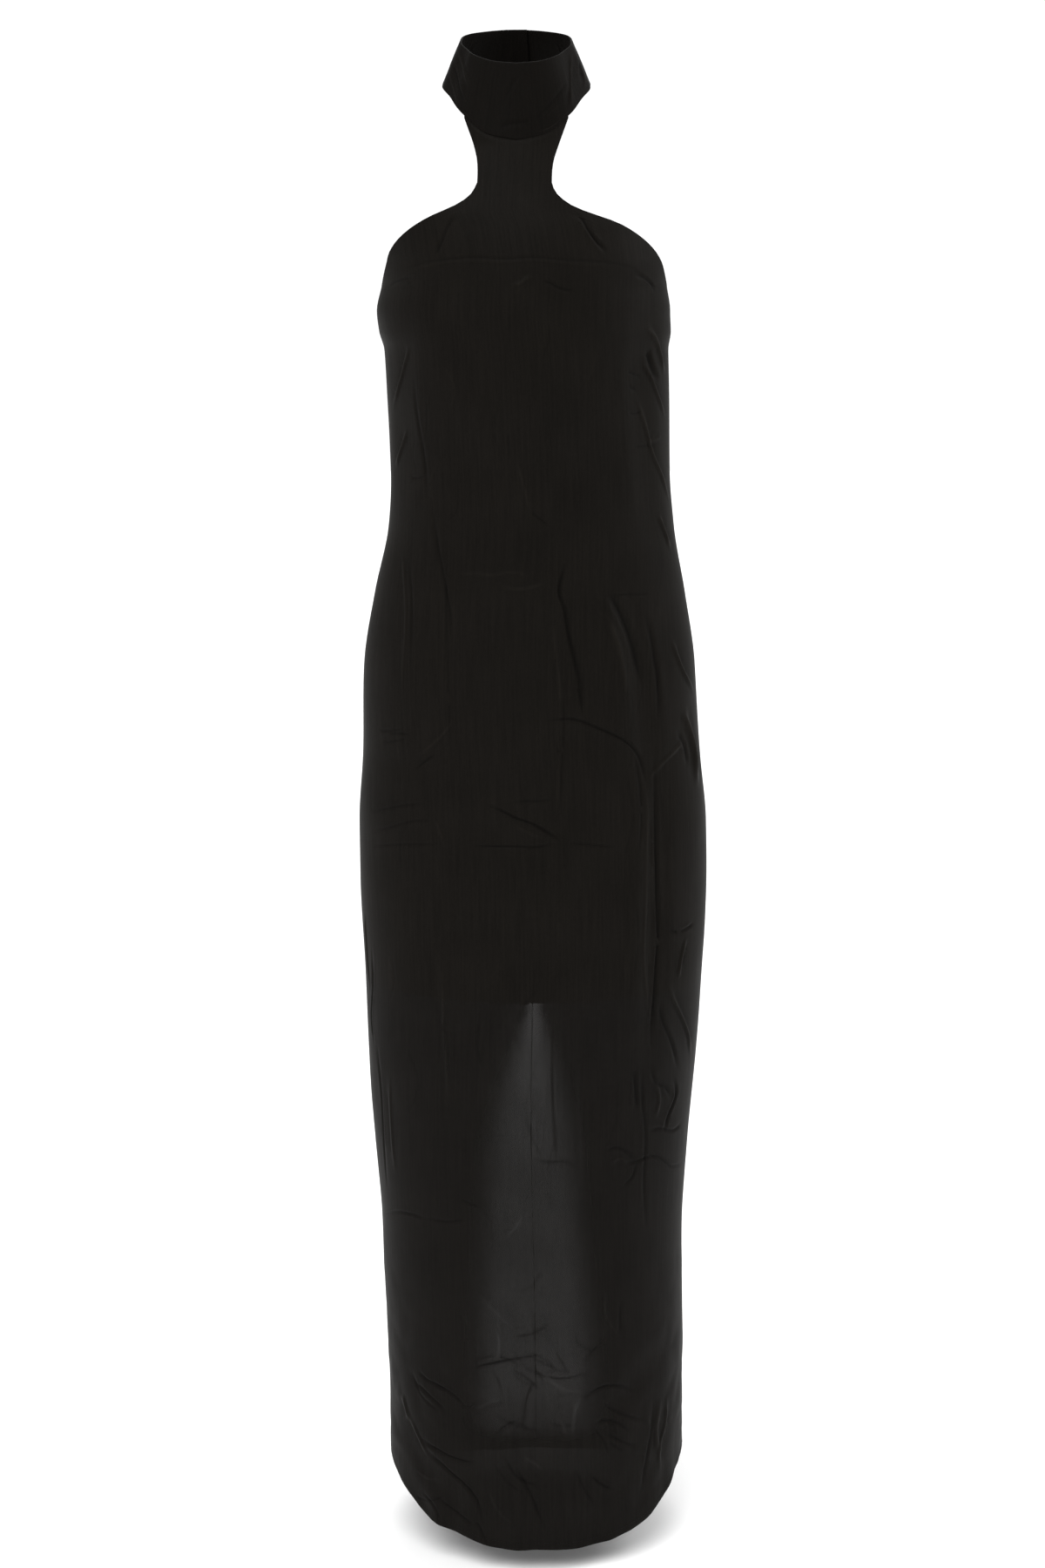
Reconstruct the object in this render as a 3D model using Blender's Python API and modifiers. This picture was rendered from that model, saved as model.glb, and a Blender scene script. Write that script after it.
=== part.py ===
"""Floor-length halter column dress in crepe silk, in the hollow form it has when worn.

Metres, +Z up. The front faces -Y, and the wearer's left is at +X. The origin is the middle of the
neck, level with the collar's lower edge beside the neck: the collar carries all the rest.

Every panel is a thin wall. Its outer face is a loft through the sections of the tables below, and
its thickness goes inwards. Panels that are sewn together stay a seam gap apart.
"""
import math
from collections import namedtuple

import bmesh
import bpy

# ---------------------------------------------------------------- driving dimensions

HEM_HEIGHT = -1.463          # hem at the centre front and back
SIDE_HEM_RISE = 0.060        # the hem curves up at the side seams
ARMHOLE_HEIGHT = -0.193      # lowest point of the armholes, on the side seams
BACK_TOP_HEIGHT = -0.201     # top edge at the centre back
STRAP_SEAM_HEIGHT = -0.0545  # collar seam at the centre front
STRAP_SEAM_RISE = 0.0230     # how far that seam climbs to the strap's edges

CLOTH = 0.0012               # wall that stands for one layer of silk
COLLAR_CLOTH = 0.0020        # doubled collar band
LINING_CLOTH = 0.0010
SEAM_GAP = 0.0003            # between pieces that are sewn or rest on each other
LINING_SEAM_GAP = 0.0012

LINING_TOP = -0.166          # top edge of the lining at the centre front
LINING_SIDE_DROP = 0.036     # it dips under the armholes
LINING_HEM = -0.892          # knee length
LINING_EASE = 0.0080         # it hangs this far inside the outer cloth
LINING_FALL = 0.050          # and gets there this far below its top edge
LINING_BACK_SINK = 0.004     # its back edge lies below the back's top edge

NAPE_LAP = math.radians(11)  # each collar end passes the centre back by this angle
NAPE_STEP_START = math.radians(148)
NAPE_STEP = COLLAR_CLOTH + 0.0005    # by then the end on top stands clear of the other
BUTTON_RADIUS = 0.0048
BUTTON_DEPTH = 0.0034
BUTTON_UNDERSIDE = 0.28      # its underside is this much flatter than its dome
BUTTON_SPACING = 0.022

ZIP_SLIDER_DROP = 0.0095     # slider's middle below the back's top edge
SLIDER_SIZE = (0.0056, 0.0024, 0.0095)
SLIDER_EAR = (0.0011, 0.0036, 0.0032)
EAR_ROOT = 0.0006            # the ears are sunk this far in the slider
PIN_RADIUS = 0.0006
PIN_STANDOFF = 0.0022        # pin's axis in front of the slider's face
PIN_RISE = 0.0010            # and above its middle
PIN_END = 0.0002             # the pin ends this far short of the ears' outer faces
KNUCKLE_RADIUS = 0.0018
KNUCKLE_BORE = 0.0010
KNUCKLE_LENGTH = 0.0026
PULL_LENGTH = 0.021
PULL_WIDTH = 0.0052
PULL_THICKNESS = 0.0012
PULL_NECK = 0.0032           # its narrow neck ends this far below the pin
PULL_SHOULDER = 0.0055
PULL_SHOULDER_WIDTH = 0.0037
PULL_ROUND_STEPS = 8         # for a quarter of its round end

# ---------------------------------------------------------------- tables

# The body from the hem to the underarm. centre is how far the dress leans to +X,
# half_width is half its width, and the depths are in front of and behind that centre.
Section = namedtuple("Section", "height centre half_width front_depth back_depth")
BODY = (
    Section(HEM_HEIGHT, 0.0212, 0.1540, 0.131, 0.131),   # hem
    Section(-1.348, 0.0203, 0.1538, 0.129, 0.129),
    Section(-1.252, 0.0185, 0.1552, 0.127, 0.127),
    Section(-1.156, 0.0160, 0.1562, 0.126, 0.125),   # shin
    Section(-1.061, 0.0152, 0.1624, 0.125, 0.124),
    Section(-0.968, 0.0164, 0.1692, 0.124, 0.124),   # knee
    Section(-0.875, 0.0174, 0.1733, 0.122, 0.125),
    Section(-0.784, 0.0172, 0.1768, 0.120, 0.127),
    Section(-0.730, 0.0166, 0.1765, 0.119, 0.128),   # widest, below the hip
    Section(-0.657, 0.0150, 0.1708, 0.118, 0.128),   # seat
    Section(-0.568, 0.0130, 0.1668, 0.115, 0.118),
    Section(-0.497, 0.0134, 0.1559, 0.111, 0.105),
    Section(-0.427, 0.0148, 0.1425, 0.107, 0.094),
    Section(-0.375, 0.0138, 0.1390, 0.107, 0.091),   # waist
    Section(-0.300, 0.0115, 0.1400, 0.117, 0.096),   # bust
    Section(-0.256, 0.0098, 0.1406, 0.118, 0.100),
    Section(-0.237, 0.0084, 0.1444, 0.117, 0.101),
    Section(-0.218, 0.0070, 0.1450, 0.115, 0.101),
    Section(-0.193, 0.0078, 0.1406, 0.112, 0.101),   # underarm
)

# The front above the underarm, up to the collar seam. reach is how far the cloth goes to each
# side before its armhole edge, on a chest of half_width; set_back moves the section to +Y.
Chest = namedtuple("Chest", "height centre half_width front_depth set_back reach")
CHEST = (
    Chest(-0.1930, 0.0078, 0.1406, 0.1120, 0.0000, 0.1406),
    Chest(-0.1725, 0.0078, 0.1415, 0.1090, 0.0000, 0.1352),
    Chest(-0.1624, 0.0065, 0.1415, 0.1070, 0.0000, 0.1312),
    Chest(-0.1523, 0.0051, 0.1412, 0.1045, 0.0002, 0.1238),
    Chest(-0.1424, 0.0037, 0.1405, 0.1015, 0.0004, 0.1127),
    Chest(-0.1325, 0.0020, 0.1390, 0.0980, 0.0007, 0.0970),
    Chest(-0.1226, -0.0024, 0.1350, 0.0940, 0.0011, 0.0730),
    Chest(-0.1177, -0.0030, 0.1318, 0.0919, 0.0013, 0.0600),
    Chest(-0.1128, -0.0027, 0.1280, 0.0898, 0.0016, 0.0512),
    Chest(-0.1079, -0.0022, 0.1232, 0.0876, 0.0019, 0.0442),
    Chest(-0.1029, -0.0022, 0.1180, 0.0855, 0.0022, 0.0398),
    Chest(-0.0931, -0.0016, 0.1060, 0.0814, 0.0028, 0.0358),
    Chest(-0.0833, -0.0013, 0.0950, 0.0778, 0.0035, 0.0359),
    Chest(-0.0734, -0.0008, 0.0850, 0.0742, 0.0042, 0.0369),
    Chest(-0.0635, -0.0003, 0.0775, 0.0706, 0.0047, 0.0395),
    Chest(-0.0545, 0.0000, 0.0740, 0.0679, 0.0050, 0.0424),
    Chest(-0.0437, 0.0000, 0.0728, 0.0675, 0.0050, 0.0464),
    Chest(-0.0310, 0.0000, 0.0725, 0.0675, 0.0050, 0.0510),
)

# How far a level of the body climbs from its middle to the side seams or strap edges.
Rise = namedtuple("Rise", "height rise")
FRONT_RISE = (
    Rise(HEM_HEIGHT, SIDE_HEM_RISE),
    Rise(-1.340, 0.022),
    Rise(-1.200, 0.006),
    Rise(-1.050, 0.000),
    Rise(-0.125, 0.000),
    Rise(-0.092, 0.006),
    Rise(STRAP_SEAM_HEIGHT, STRAP_SEAM_RISE),
)
BACK_RISE = FRONT_RISE[:4] + (
    Rise(-0.300, 0.000),
    Rise(BACK_TOP_HEIGHT, ARMHOLE_HEIGHT - BACK_TOP_HEIGHT),
)
HEM_SHARPNESS = 4.2
STRAP_SHARPNESS = 2.3

# Levels of the panels' grids: from one height to the next in equal steps.
Span = namedtuple("Span", "low high steps")
FRONT_LEVELS = (
    Span(HEM_HEIGHT, -1.000, 9),
    Span(-1.000, -0.440, 15),
    Span(-0.440, -0.251, 5),
    Span(-0.251, ARMHOLE_HEIGHT, 4),
    Span(ARMHOLE_HEIGHT, -0.161, 4),
    Span(-0.161, STRAP_SEAM_HEIGHT, 9),
)
BACK_LEVELS = (
    Span(HEM_HEIGHT, -0.900, 10),
    Span(-0.900, -0.440, 11),
    Span(-0.440, -0.251, 4),
    Span(-0.251, BACK_TOP_HEIGHT, 3),
)
# The lining's levels, each this far below its top edge, and then its hem.
LINING_DROPS = (0.0, 0.015, 0.050, 0.110, 0.170, 0.230, 0.300, 0.370, 0.450, 0.530, 0.610)
FRONT_COLUMNS = 38
BACK_COLUMNS = 13
LINING_COLUMNS = 12

# The collar, from the centre front (0) round to the nape (180). lower and upper are the heights
# of its edges; the band is a cone whose two ellipses share the middle of the neck.
CollarStation = namedtuple("CollarStation", "angle lower upper")
COLLAR = (
    CollarStation(0, STRAP_SEAM_HEIGHT, 0.0184),
    CollarStation(22, -0.0490, 0.0202),
    CollarStation(44.6, -0.0310, 0.0256),
    CollarStation(68, -0.0110, 0.0338),
    CollarStation(90, 0.0000, 0.0432),
    CollarStation(125, 0.0060, 0.0510),
    CollarStation(180, 0.0090, 0.0560),
    CollarStation(192, 0.0090, 0.0560),
)
COLLAR_BASE = (0.0725, 0.0675)   # half width, half depth at the lower edge
COLLAR_TOP = (0.0543, 0.0550)
COLLAR_SET_BACK = 0.005
COLLAR_COLUMNS = 56
COLLAR_ROWS = 4

# Main folds. depth is how far the cloth sinks (negative: stands up) in the middle of the fold,
# half_width is how far it fades out on each side, and path runs through points (x, height).
Fold = namedtuple("Fold", "name depth half_width path")
FRONT_FOLDS = (
    Fold("long thigh crease", 0.0045, 0.020,
         ((0.045, -0.470), (0.048, -0.525), (0.060, -0.600), (0.066, -0.690))),
    Fold("thigh roll", -0.0045, 0.018,
         ((0.088, -0.500), (0.101, -0.540), (0.102, -0.590), (0.108, -0.650))),
    Fold("beside the roll", 0.0045, 0.018,
         ((0.108, -0.500), (0.124, -0.560), (0.130, -0.640), (0.136, -0.740))),
    Fold("hip crescent", 0.0035, 0.016,
         ((0.024, -0.628), (0.066, -0.628), (0.098, -0.644), (0.124, -0.668))),
    Fold("side pleat", 0.0050, 0.017,
         ((0.146, -0.660), (0.140, -0.760), (0.139, -0.860), (0.132, -0.960))),
    Fold("beside the pleat", -0.0035, 0.016,
         ((0.122, -0.700), (0.118, -0.800), (0.116, -0.900))),
    Fold("slanting crease", 0.0030, 0.016,
         ((-0.034, -0.712), (0.005, -0.735), (0.036, -0.756))),
    Fold("left hip crescent", 0.0030, 0.018,
         ((-0.128, -0.662), (-0.088, -0.658), (-0.060, -0.626))),
    Fold("right bust drag", 0.0040, 0.018,
         ((0.128, -0.215), (0.118, -0.280), (0.124, -0.350), (0.132, -0.430))),
    Fold("left bust drag", 0.0030, 0.018,
         ((-0.108, -0.225), (-0.112, -0.300), (-0.106, -0.380))),
    Fold("right shin drag", 0.0035, 0.020,
         ((0.070, -1.350), (0.110, -1.310), (0.145, -1.270))),
    Fold("left hem drag", 0.0035, 0.020,
         ((-0.125, -1.345), (-0.085, -1.400), (-0.045, -1.440))),
)
BACK_FOLDS = (
    Fold("seat crease", 0.0040, 0.022,
         ((-0.050, -0.792), (0.000, -0.770), (0.050, -0.772), (0.090, -0.796))),
    Fold("left back drape", 0.0045, 0.024,
         ((0.080, -0.880), (0.086, -1.040), (0.090, -1.260))),
    Fold("right back drape", 0.0045, 0.024,
         ((-0.052, -0.880), (-0.056, -1.080), (-0.064, -1.300))),
    Fold("waist drag left", 0.0035, 0.020,
         ((0.120, -0.360), (0.080, -0.400), (0.046, -0.455))),
    Fold("waist drag right", 0.0035, 0.020,
         ((-0.094, -0.350), (-0.056, -0.395), (-0.020, -0.440))),
)

# Soft upright folds where the collar turns round the neck.
CollarFold = namedtuple("CollarFold", "angle depth half_width")
COLLAR_FOLDS = (
    CollarFold(-118, 0.0012, 14),
    CollarFold(-80, -0.0012, 9),
    CollarFold(-64, 0.0016, 11),
    CollarFold(60, 0.0014, 11),
    CollarFold(77, -0.0014, 9),
    CollarFold(122, 0.0012, 14),
)

# ---------------------------------------------------------------- smooth tables


def table_value(rows, key, column, at):
    """Value of a table's column at any point between its rows, on a curve with no overshoot."""
    xs = [getattr(row, key) for row in rows]
    ys = [getattr(row, column) for row in rows]
    at = min(max(at, xs[0]), xs[-1])
    i = max(k for k in range(len(xs) - 1) if xs[k] <= at)
    slopes = [(ys[k + 1] - ys[k]) / (xs[k + 1] - xs[k]) for k in range(len(xs) - 1)]

    def tangent(k):
        if k == 0 or k == len(xs) - 1:
            return slopes[min(k, len(slopes) - 1)]
        before, after = slopes[k - 1], slopes[k]
        return 0.0 if before * after <= 0 else 2 * before * after / (before + after)

    step = xs[i + 1] - xs[i]
    t = (at - xs[i]) / step
    start = ys[i] * (1 + 2 * t) * (1 - t) ** 2 + step * tangent(i) * t * (1 - t) ** 2
    end = ys[i + 1] * t * t * (3 - 2 * t) - step * tangent(i + 1) * t * t * (1 - t)
    return start + end


def levels(spans):
    """Heights of a grid's levels, from the bottom to the top."""
    heights = [spans[0].low]
    for span in spans:
        step = (span.high - span.low) / span.steps
        heights += [span.low + step * k for k in range(1, span.steps + 1)]
    return heights


def fold_sink(folds, x, height):
    """How far the folds press the cloth in at a point of a panel."""
    sink = 0.0
    for fold in folds:
        nearest, along = path_distance(fold.path, x, height)
        if nearest < fold.half_width:
            across = (1 - (nearest / fold.half_width) ** 2) ** 2
            sink += fold.depth * across * math.sin(math.pi * (0.12 + 0.76 * along))
    return sink


def path_distance(path, x, height):
    """Distance from a point to a path, and how far along the path its nearest point lies."""
    best = (1.0, 0.0)
    pieces = len(path) - 1
    for k in range(pieces):
        (ax, ah), (bx, bh) = path[k], path[k + 1]
        run, climb = bx - ax, bh - ah
        t = ((x - ax) * run + (height - ah) * climb) / (run * run + climb * climb)
        t = min(max(t, 0.0), 1.0)
        gap = math.hypot(x - ax - t * run, height - ah - t * climb)
        if gap < best[0]:
            best = (gap, (k + t) / pieces)
    return best


# ---------------------------------------------------------------- the cloth's outer faces


def hem_bend(across):
    """A level's climb from 0 at the middle to 1 at the side seams, where it runs smoothly on."""
    return math.sin(math.pi / 2 * abs(across)) ** HEM_SHARPNESS


def strap_bend(across):
    """The same for the collar seam, up to the strap's edges."""
    return abs(across) ** STRAP_SHARPNESS


def front_point(across, level, inset=0.0, folds=FRONT_FOLDS, gap=SEAM_GAP):
    """Point of the front panel: across runs from -1, the wearer's right edge, to 1."""
    climb = table_value(FRONT_RISE, "height", "rise", level)
    edge = level + climb
    height = level + climb * (strap_bend(across) if edge > ARMHOLE_HEIGHT else hem_bend(across))
    if edge > ARMHOLE_HEIGHT:
        reach = table_value(CHEST, "height", "reach", edge)
        widest = table_value(CHEST, "height", "half_width", edge)
        turn = math.asin(min(1.0, reach / widest))
    else:
        turn = math.pi / 2
    table = CHEST if height > ARMHOLE_HEIGHT else BODY
    depth = table_value(table, "height", "front_depth", height)
    turn = min(turn, math.pi / 2 - gap / 2 / depth)
    set_back = table_value(CHEST, "height", "set_back", height)
    return loft_point(table, height, across * turn, -depth, set_back, inset, folds)


def back_point(across, level, side, inset=0.0, folds=BACK_FOLDS, gap=SEAM_GAP):
    """Point of a back panel: across runs from 0, the centre back, to 1, the side seam."""
    climb = table_value(BACK_RISE, "height", "rise", level)
    height = level + climb * hem_bend(across)
    depth = table_value(BODY, "height", "back_depth", height)
    width = table_value(BODY, "height", "half_width", height)
    near, far = gap / 2 / width, math.pi / 2 - gap / 2 / depth
    angle = side * (near + (far - near) * across)
    return loft_point(BODY, height, angle, depth, 0.0, inset, folds)


def loft_point(table, height, angle, depth, set_back, inset, folds):
    """Point on the section's ellipse at an angle from the centre line, pressed in by the folds."""
    width = table_value(table, "height", "half_width", height)
    centre = table_value(table, "height", "centre", height)
    x, y = width * math.sin(angle), depth * math.cos(angle)
    slope = math.hypot(x / width ** 2, y / depth ** 2)
    outward = (x / width ** 2 / slope, y / depth ** 2 / slope)
    fade = min(1.0, 3.0 * math.cos(angle))
    sink = inset + fade * fold_sink(folds, centre + x, height)
    return (centre + x - outward[0] * sink, set_back + y - outward[1] * sink, height)


def collar_point(angle, up, inset=0.0):
    """Point of the collar: angle from the centre front, up from 0, lower edge, to 1, top edge."""
    degrees = min(abs(math.degrees(angle)), COLLAR[-1].angle)
    low = table_value(COLLAR, "angle", "lower", degrees)
    high = table_value(COLLAR, "angle", "upper", degrees)
    half_width = COLLAR_BASE[0] + (COLLAR_TOP[0] - COLLAR_BASE[0]) * up
    half_depth = COLLAR_BASE[1] + (COLLAR_TOP[1] - COLLAR_BASE[1]) * up
    proud = -inset
    for fold in COLLAR_FOLDS:
        away = abs(math.degrees(angle) - fold.angle) / fold.half_width
        if away < 1:
            proud -= fold.depth * (1 - away * away) ** 2 * math.sin(math.pi * (0.25 + 0.5 * up))
    if angle > NAPE_STEP_START:
        climb = min(1.0, (angle - NAPE_STEP_START) / (math.pi - NAPE_LAP - NAPE_STEP_START))
        proud += NAPE_STEP * climb * climb * (3 - 2 * climb)
    x = (half_width + proud) * math.sin(angle)
    y = COLLAR_SET_BACK - (half_depth + proud) * math.cos(angle)
    return (x, y, low + SEAM_GAP + (high - low - SEAM_GAP) * up)


# ---------------------------------------------------------------- making objects


def new_material(name, colour, roughness, metallic=0.0):
    material = bpy.data.materials.new(name)
    material.use_nodes = True
    shader = material.node_tree.nodes["Principled BSDF"]
    shader.inputs["Base Color"].default_value = (*colour, 1.0)
    shader.inputs["Roughness"].default_value = roughness
    shader.inputs["Metallic"].default_value = metallic
    return material


def add_object(name, mesh, material, collection):
    piece = bpy.data.objects.new(name, mesh)
    mesh.materials.append(material)
    collection.objects.link(piece)
    return piece


def cloth_wall(name, rows, thickness, material, collection):
    """Wall of cloth whose outer face passes through rows of points, listed from the bottom up.

    Seen from outside, each row runs from left to right.
    """
    shape = bmesh.new()
    grid = [[shape.verts.new(point) for point in row] for row in rows]
    for lower, upper in zip(grid, grid[1:]):
        for k in range(len(lower) - 1):
            shape.faces.new((lower[k], lower[k + 1], upper[k + 1], upper[k]))
    mesh = bpy.data.meshes.new(name)
    shape.to_mesh(mesh)
    shape.free()
    mesh.shade_smooth()
    wall = add_object(name, mesh, material, collection)
    solidify = wall.modifiers.new("cloth thickness", "SOLIDIFY")
    solidify.thickness = thickness
    solidify.offset = -1.0
    solidify.use_even_offset = True
    return wall


def block(size, centre):
    """Box as a bmesh, size and centre along X, Y and Z."""
    shape = bmesh.new()
    bmesh.ops.create_cube(shape, size=1.0)
    bmesh.ops.scale(shape, vec=size, verts=shape.verts)
    bmesh.ops.translate(shape, vec=centre, verts=shape.verts)
    return shape


def rod(radius, length, centre, segments=16):
    """Round rod along X as a bmesh."""
    shape = bmesh.new()
    bmesh.ops.create_cone(
        shape, cap_ends=True, segments=segments, radius1=radius, radius2=radius, depth=length)
    for vert in shape.verts:
        vert.co = (vert.co.z + centre[0], vert.co.x + centre[1], vert.co.y + centre[2])
    return shape


def solid(name, shape, material, collection):
    mesh = bpy.data.meshes.new(name)
    shape.to_mesh(mesh)
    shape.free()
    return add_object(name, mesh, material, collection)


def combine(target, tool, operation):
    boolean = target.modifiers.new(tool.name, "BOOLEAN")
    boolean.operation = operation
    boolean.object = tool
    tool.hide_render = True
    tool.display_type = "WIRE"


# ---------------------------------------------------------------- pieces


def make_front(material, collection):
    spread = [2 * k / FRONT_COLUMNS - 1 for k in range(FRONT_COLUMNS + 1)]
    rows = [[front_point(across, level) for across in spread] for level in levels(FRONT_LEVELS)]
    return cloth_wall("front", rows, CLOTH, material, collection)


def make_back(name, side, material, collection):
    """Back panel on the wearer's right (side -1) or left (side 1)."""
    spread = [k / BACK_COLUMNS for k in range(BACK_COLUMNS + 1)]
    if side > 0:
        spread.reverse()
    rows = [[back_point(across, level, side) for across in spread] for level in levels(BACK_LEVELS)]
    return cloth_wall(name, rows, CLOTH, material, collection)


def lining_point(panel, across, level, drop):
    """Point of the lining: its top edge is sewn to the panel; below, it hangs free inside."""
    seated = CLOTH + 3 * SEAM_GAP
    inset = seated + (LINING_EASE - seated) * min(1.0, drop / LINING_FALL)
    return panel(across, level, inset=inset, folds=(), gap=LINING_SEAM_GAP)


def make_lining_front(material, collection):
    spread = [2 * k / LINING_COLUMNS - 1 for k in range(LINING_COLUMNS + 1)]
    tops = [LINING_TOP - LINING_SIDE_DROP * abs(across) ** 3 for across in spread]
    rows = [[lining_point(front_point, across, LINING_HEM, 1.0) for across in spread]]
    for drop in reversed(LINING_DROPS):
        rows.append([
            lining_point(front_point, across, top - drop, drop) for across, top in zip(spread, tops)])
    return cloth_wall("lining_front", rows, LINING_CLOTH, material, collection)


def make_lining_back(name, side, material, collection):
    top = BACK_TOP_HEIGHT - LINING_BACK_SINK
    spread = [2 * k / LINING_COLUMNS for k in range(LINING_COLUMNS // 2 + 1)]
    if side > 0:
        spread.reverse()

    def half(across, level, **fit):
        return back_point(across, level, side, **fit)

    rows = [[lining_point(half, across, LINING_HEM, 1.0) for across in spread]]
    for drop in reversed(LINING_DROPS):
        rows.append([lining_point(half, across, top - drop, drop) for across in spread])
    return cloth_wall(name, rows, LINING_CLOTH, material, collection)


def make_collar(material, collection):
    start, end = -(math.pi + NAPE_LAP), math.pi + NAPE_LAP
    angles = [start + (end - start) * k / COLLAR_COLUMNS for k in range(COLLAR_COLUMNS + 1)]
    steps = [k / COLLAR_ROWS for k in range(COLLAR_ROWS + 1)]
    rows = [[collar_point(angle, up) for angle in angles] for up in steps]
    return cloth_wall("collar", rows, COLLAR_CLOTH, material, collection)


def make_nape_button(name, up, material, collection):
    """Domed button that sits on the lapped collar end, its axis square to the band."""
    x, y, z = collar_point(math.pi, up)
    lean = math.atan2(COLLAR_BASE[1] - COLLAR_TOP[1], COLLAR[-1].upper - COLLAR[-1].lower)
    shape = bmesh.new()
    bmesh.ops.create_uvsphere(shape, u_segments=16, v_segments=10, radius=BUTTON_RADIUS)
    for vert in shape.verts:
        dome = vert.co.z * BUTTON_DEPTH / BUTTON_RADIUS
        vert.co = (vert.co.x, dome if dome > 0 else dome * BUTTON_UNDERSIDE, -vert.co.y)
    button = solid(name, shape, material, collection)
    seat = BUTTON_UNDERSIDE * BUTTON_DEPTH + SEAM_GAP
    button.rotation_euler = (lean, 0.0, 0.0)
    button.location = (x, y + seat * math.cos(lean), z + seat * math.sin(lean))
    return button


def zip_place():
    """Middle of the slider's inner face, on the centre back seam."""
    height = BACK_TOP_HEIGHT - ZIP_SLIDER_DROP
    reach = SLIDER_SIZE[2] * 0.63
    x = table_value(BODY, "height", "centre", height)
    y = max(table_value(BODY, "height", "back_depth", height + dz) for dz in (-reach, 0.0, reach))
    return x, y + SEAM_GAP, height


def pull_axis():
    """Point on the axis about which the pull tab swings, which runs along X."""
    x, y, z = zip_place()
    return x, y + SLIDER_SIZE[1] + PIN_STANDOFF, z + PIN_RISE


def make_zip_slider(material, collection, tools):
    x, y, z = zip_place()
    pin_x, pin_y, pin_z = pull_axis()
    body = solid("zip_slider", block(SLIDER_SIZE, (x, y + SLIDER_SIZE[1] / 2, z)), material, collection)
    ear_offset = (SLIDER_SIZE[0] - SLIDER_EAR[0]) / 2
    ear_y = y + SLIDER_SIZE[1] - EAR_ROOT + SLIDER_EAR[1] / 2
    for side in (-1, 1):
        ear = block(SLIDER_EAR, (x + side * ear_offset, ear_y, pin_z))
        combine(body, solid(f"ear tool {side}", ear, material, tools), "UNION")
    pin = rod(PIN_RADIUS, SLIDER_SIZE[0] - 2 * PIN_END, (pin_x, pin_y, pin_z))
    combine(body, solid("pin tool", pin, material, tools), "UNION")
    return body


def make_zip_pull(material, collection, tools):
    """Drop-shaped tab with a knuckle round the slider's pin, at rest hanging down."""
    x, y, z = pull_axis()
    shape = bmesh.new()
    neck, half = KNUCKLE_LENGTH / 2, PULL_WIDTH / 2
    outline = [(neck, 0.0), (neck, -PULL_NECK), (PULL_SHOULDER_WIDTH / 2, -PULL_SHOULDER)]
    for k in range(PULL_ROUND_STEPS + 1):
        turn = math.pi / 2 * k / PULL_ROUND_STEPS
        outline.append((half * math.cos(turn), -PULL_LENGTH + half * (1 - math.sin(turn))))
    outline += [(-px, pz) for px, pz in reversed(outline[:-1])]
    verts = [shape.verts.new((x + px, y - PULL_THICKNESS / 2, z + pz)) for px, pz in outline]
    face = shape.faces.new(verts)
    wall = bmesh.ops.extrude_face_region(shape, geom=[face])
    moved = [item for item in wall["geom"] if isinstance(item, bmesh.types.BMVert)]
    bmesh.ops.translate(shape, vec=(0.0, PULL_THICKNESS, 0.0), verts=moved)
    shape.normal_update()
    bmesh.ops.recalc_face_normals(shape, faces=shape.faces)
    pull = solid("zip_pull", shape, material, collection)
    knuckle = rod(KNUCKLE_RADIUS, KNUCKLE_LENGTH, (x, y, z))
    combine(pull, solid("knuckle tool", knuckle, material, tools), "UNION")
    bore = rod(KNUCKLE_BORE, KNUCKLE_LENGTH * 2, (x, y, z))
    combine(pull, solid("bore tool", bore, material, tools), "DIFFERENCE")
    return pull


def build_dress():
    for item in list(bpy.data.objects):
        bpy.data.objects.remove(item, do_unlink=True)
    collection = bpy.data.collections.new("halter column dress")
    tools = bpy.data.collections.new("cutters")
    for group in (collection, tools):
        bpy.context.scene.collection.children.link(group)

    silk = new_material("crepe silk", (0.011, 0.010, 0.009), 0.55)
    slip = new_material("lining silk", (0.008, 0.007, 0.007), 0.40)
    covered = new_material("covered button", (0.010, 0.009, 0.008), 0.50)
    metal = new_material("blackened metal", (0.030, 0.029, 0.028), 0.35, metallic=1.0)

    make_front(silk, collection)
    make_back("back_right", -1, silk, collection)
    make_back("back_left", 1, silk, collection)
    make_collar(silk, collection)
    make_lining_front(slip, collection)
    make_lining_back("lining_back_right", -1, slip, collection)
    make_lining_back("lining_back_left", 1, slip, collection)
    middle, half = 0.5, BUTTON_SPACING / 2 / (COLLAR[-1].upper - COLLAR[-1].lower)
    make_nape_button("nape_button_upper", middle + half, covered, collection)
    make_nape_button("nape_button_lower", middle - half, covered, collection)
    make_zip_slider(metal, collection, tools)
    make_zip_pull(metal, collection, tools)


build_dress()
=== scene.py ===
# %% [markdown]
# # A halter column dress in crepe silk
# This lesson dresses the solid model of a floor-length halter dress. The solids are rigid walls that
# are right in size and place. Here each panel becomes cloth: a finer surface through the same
# sections, with its creases, its turned edges, its sewing and its finish.
#
# Lengths are in metres and places in the solids' own frame: +Z is up, the front faces -Y and the
# wearer's left is at +X. "Right" and "left" in a name are the wearer's. The tables of the panels'
# folds and creases are in mm, and from_millimetres turns them into metres.

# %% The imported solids
import math
from collections import namedtuple

import bmesh
import bpy
import numpy as np
from mathutils import Matrix, Vector, noise


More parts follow.
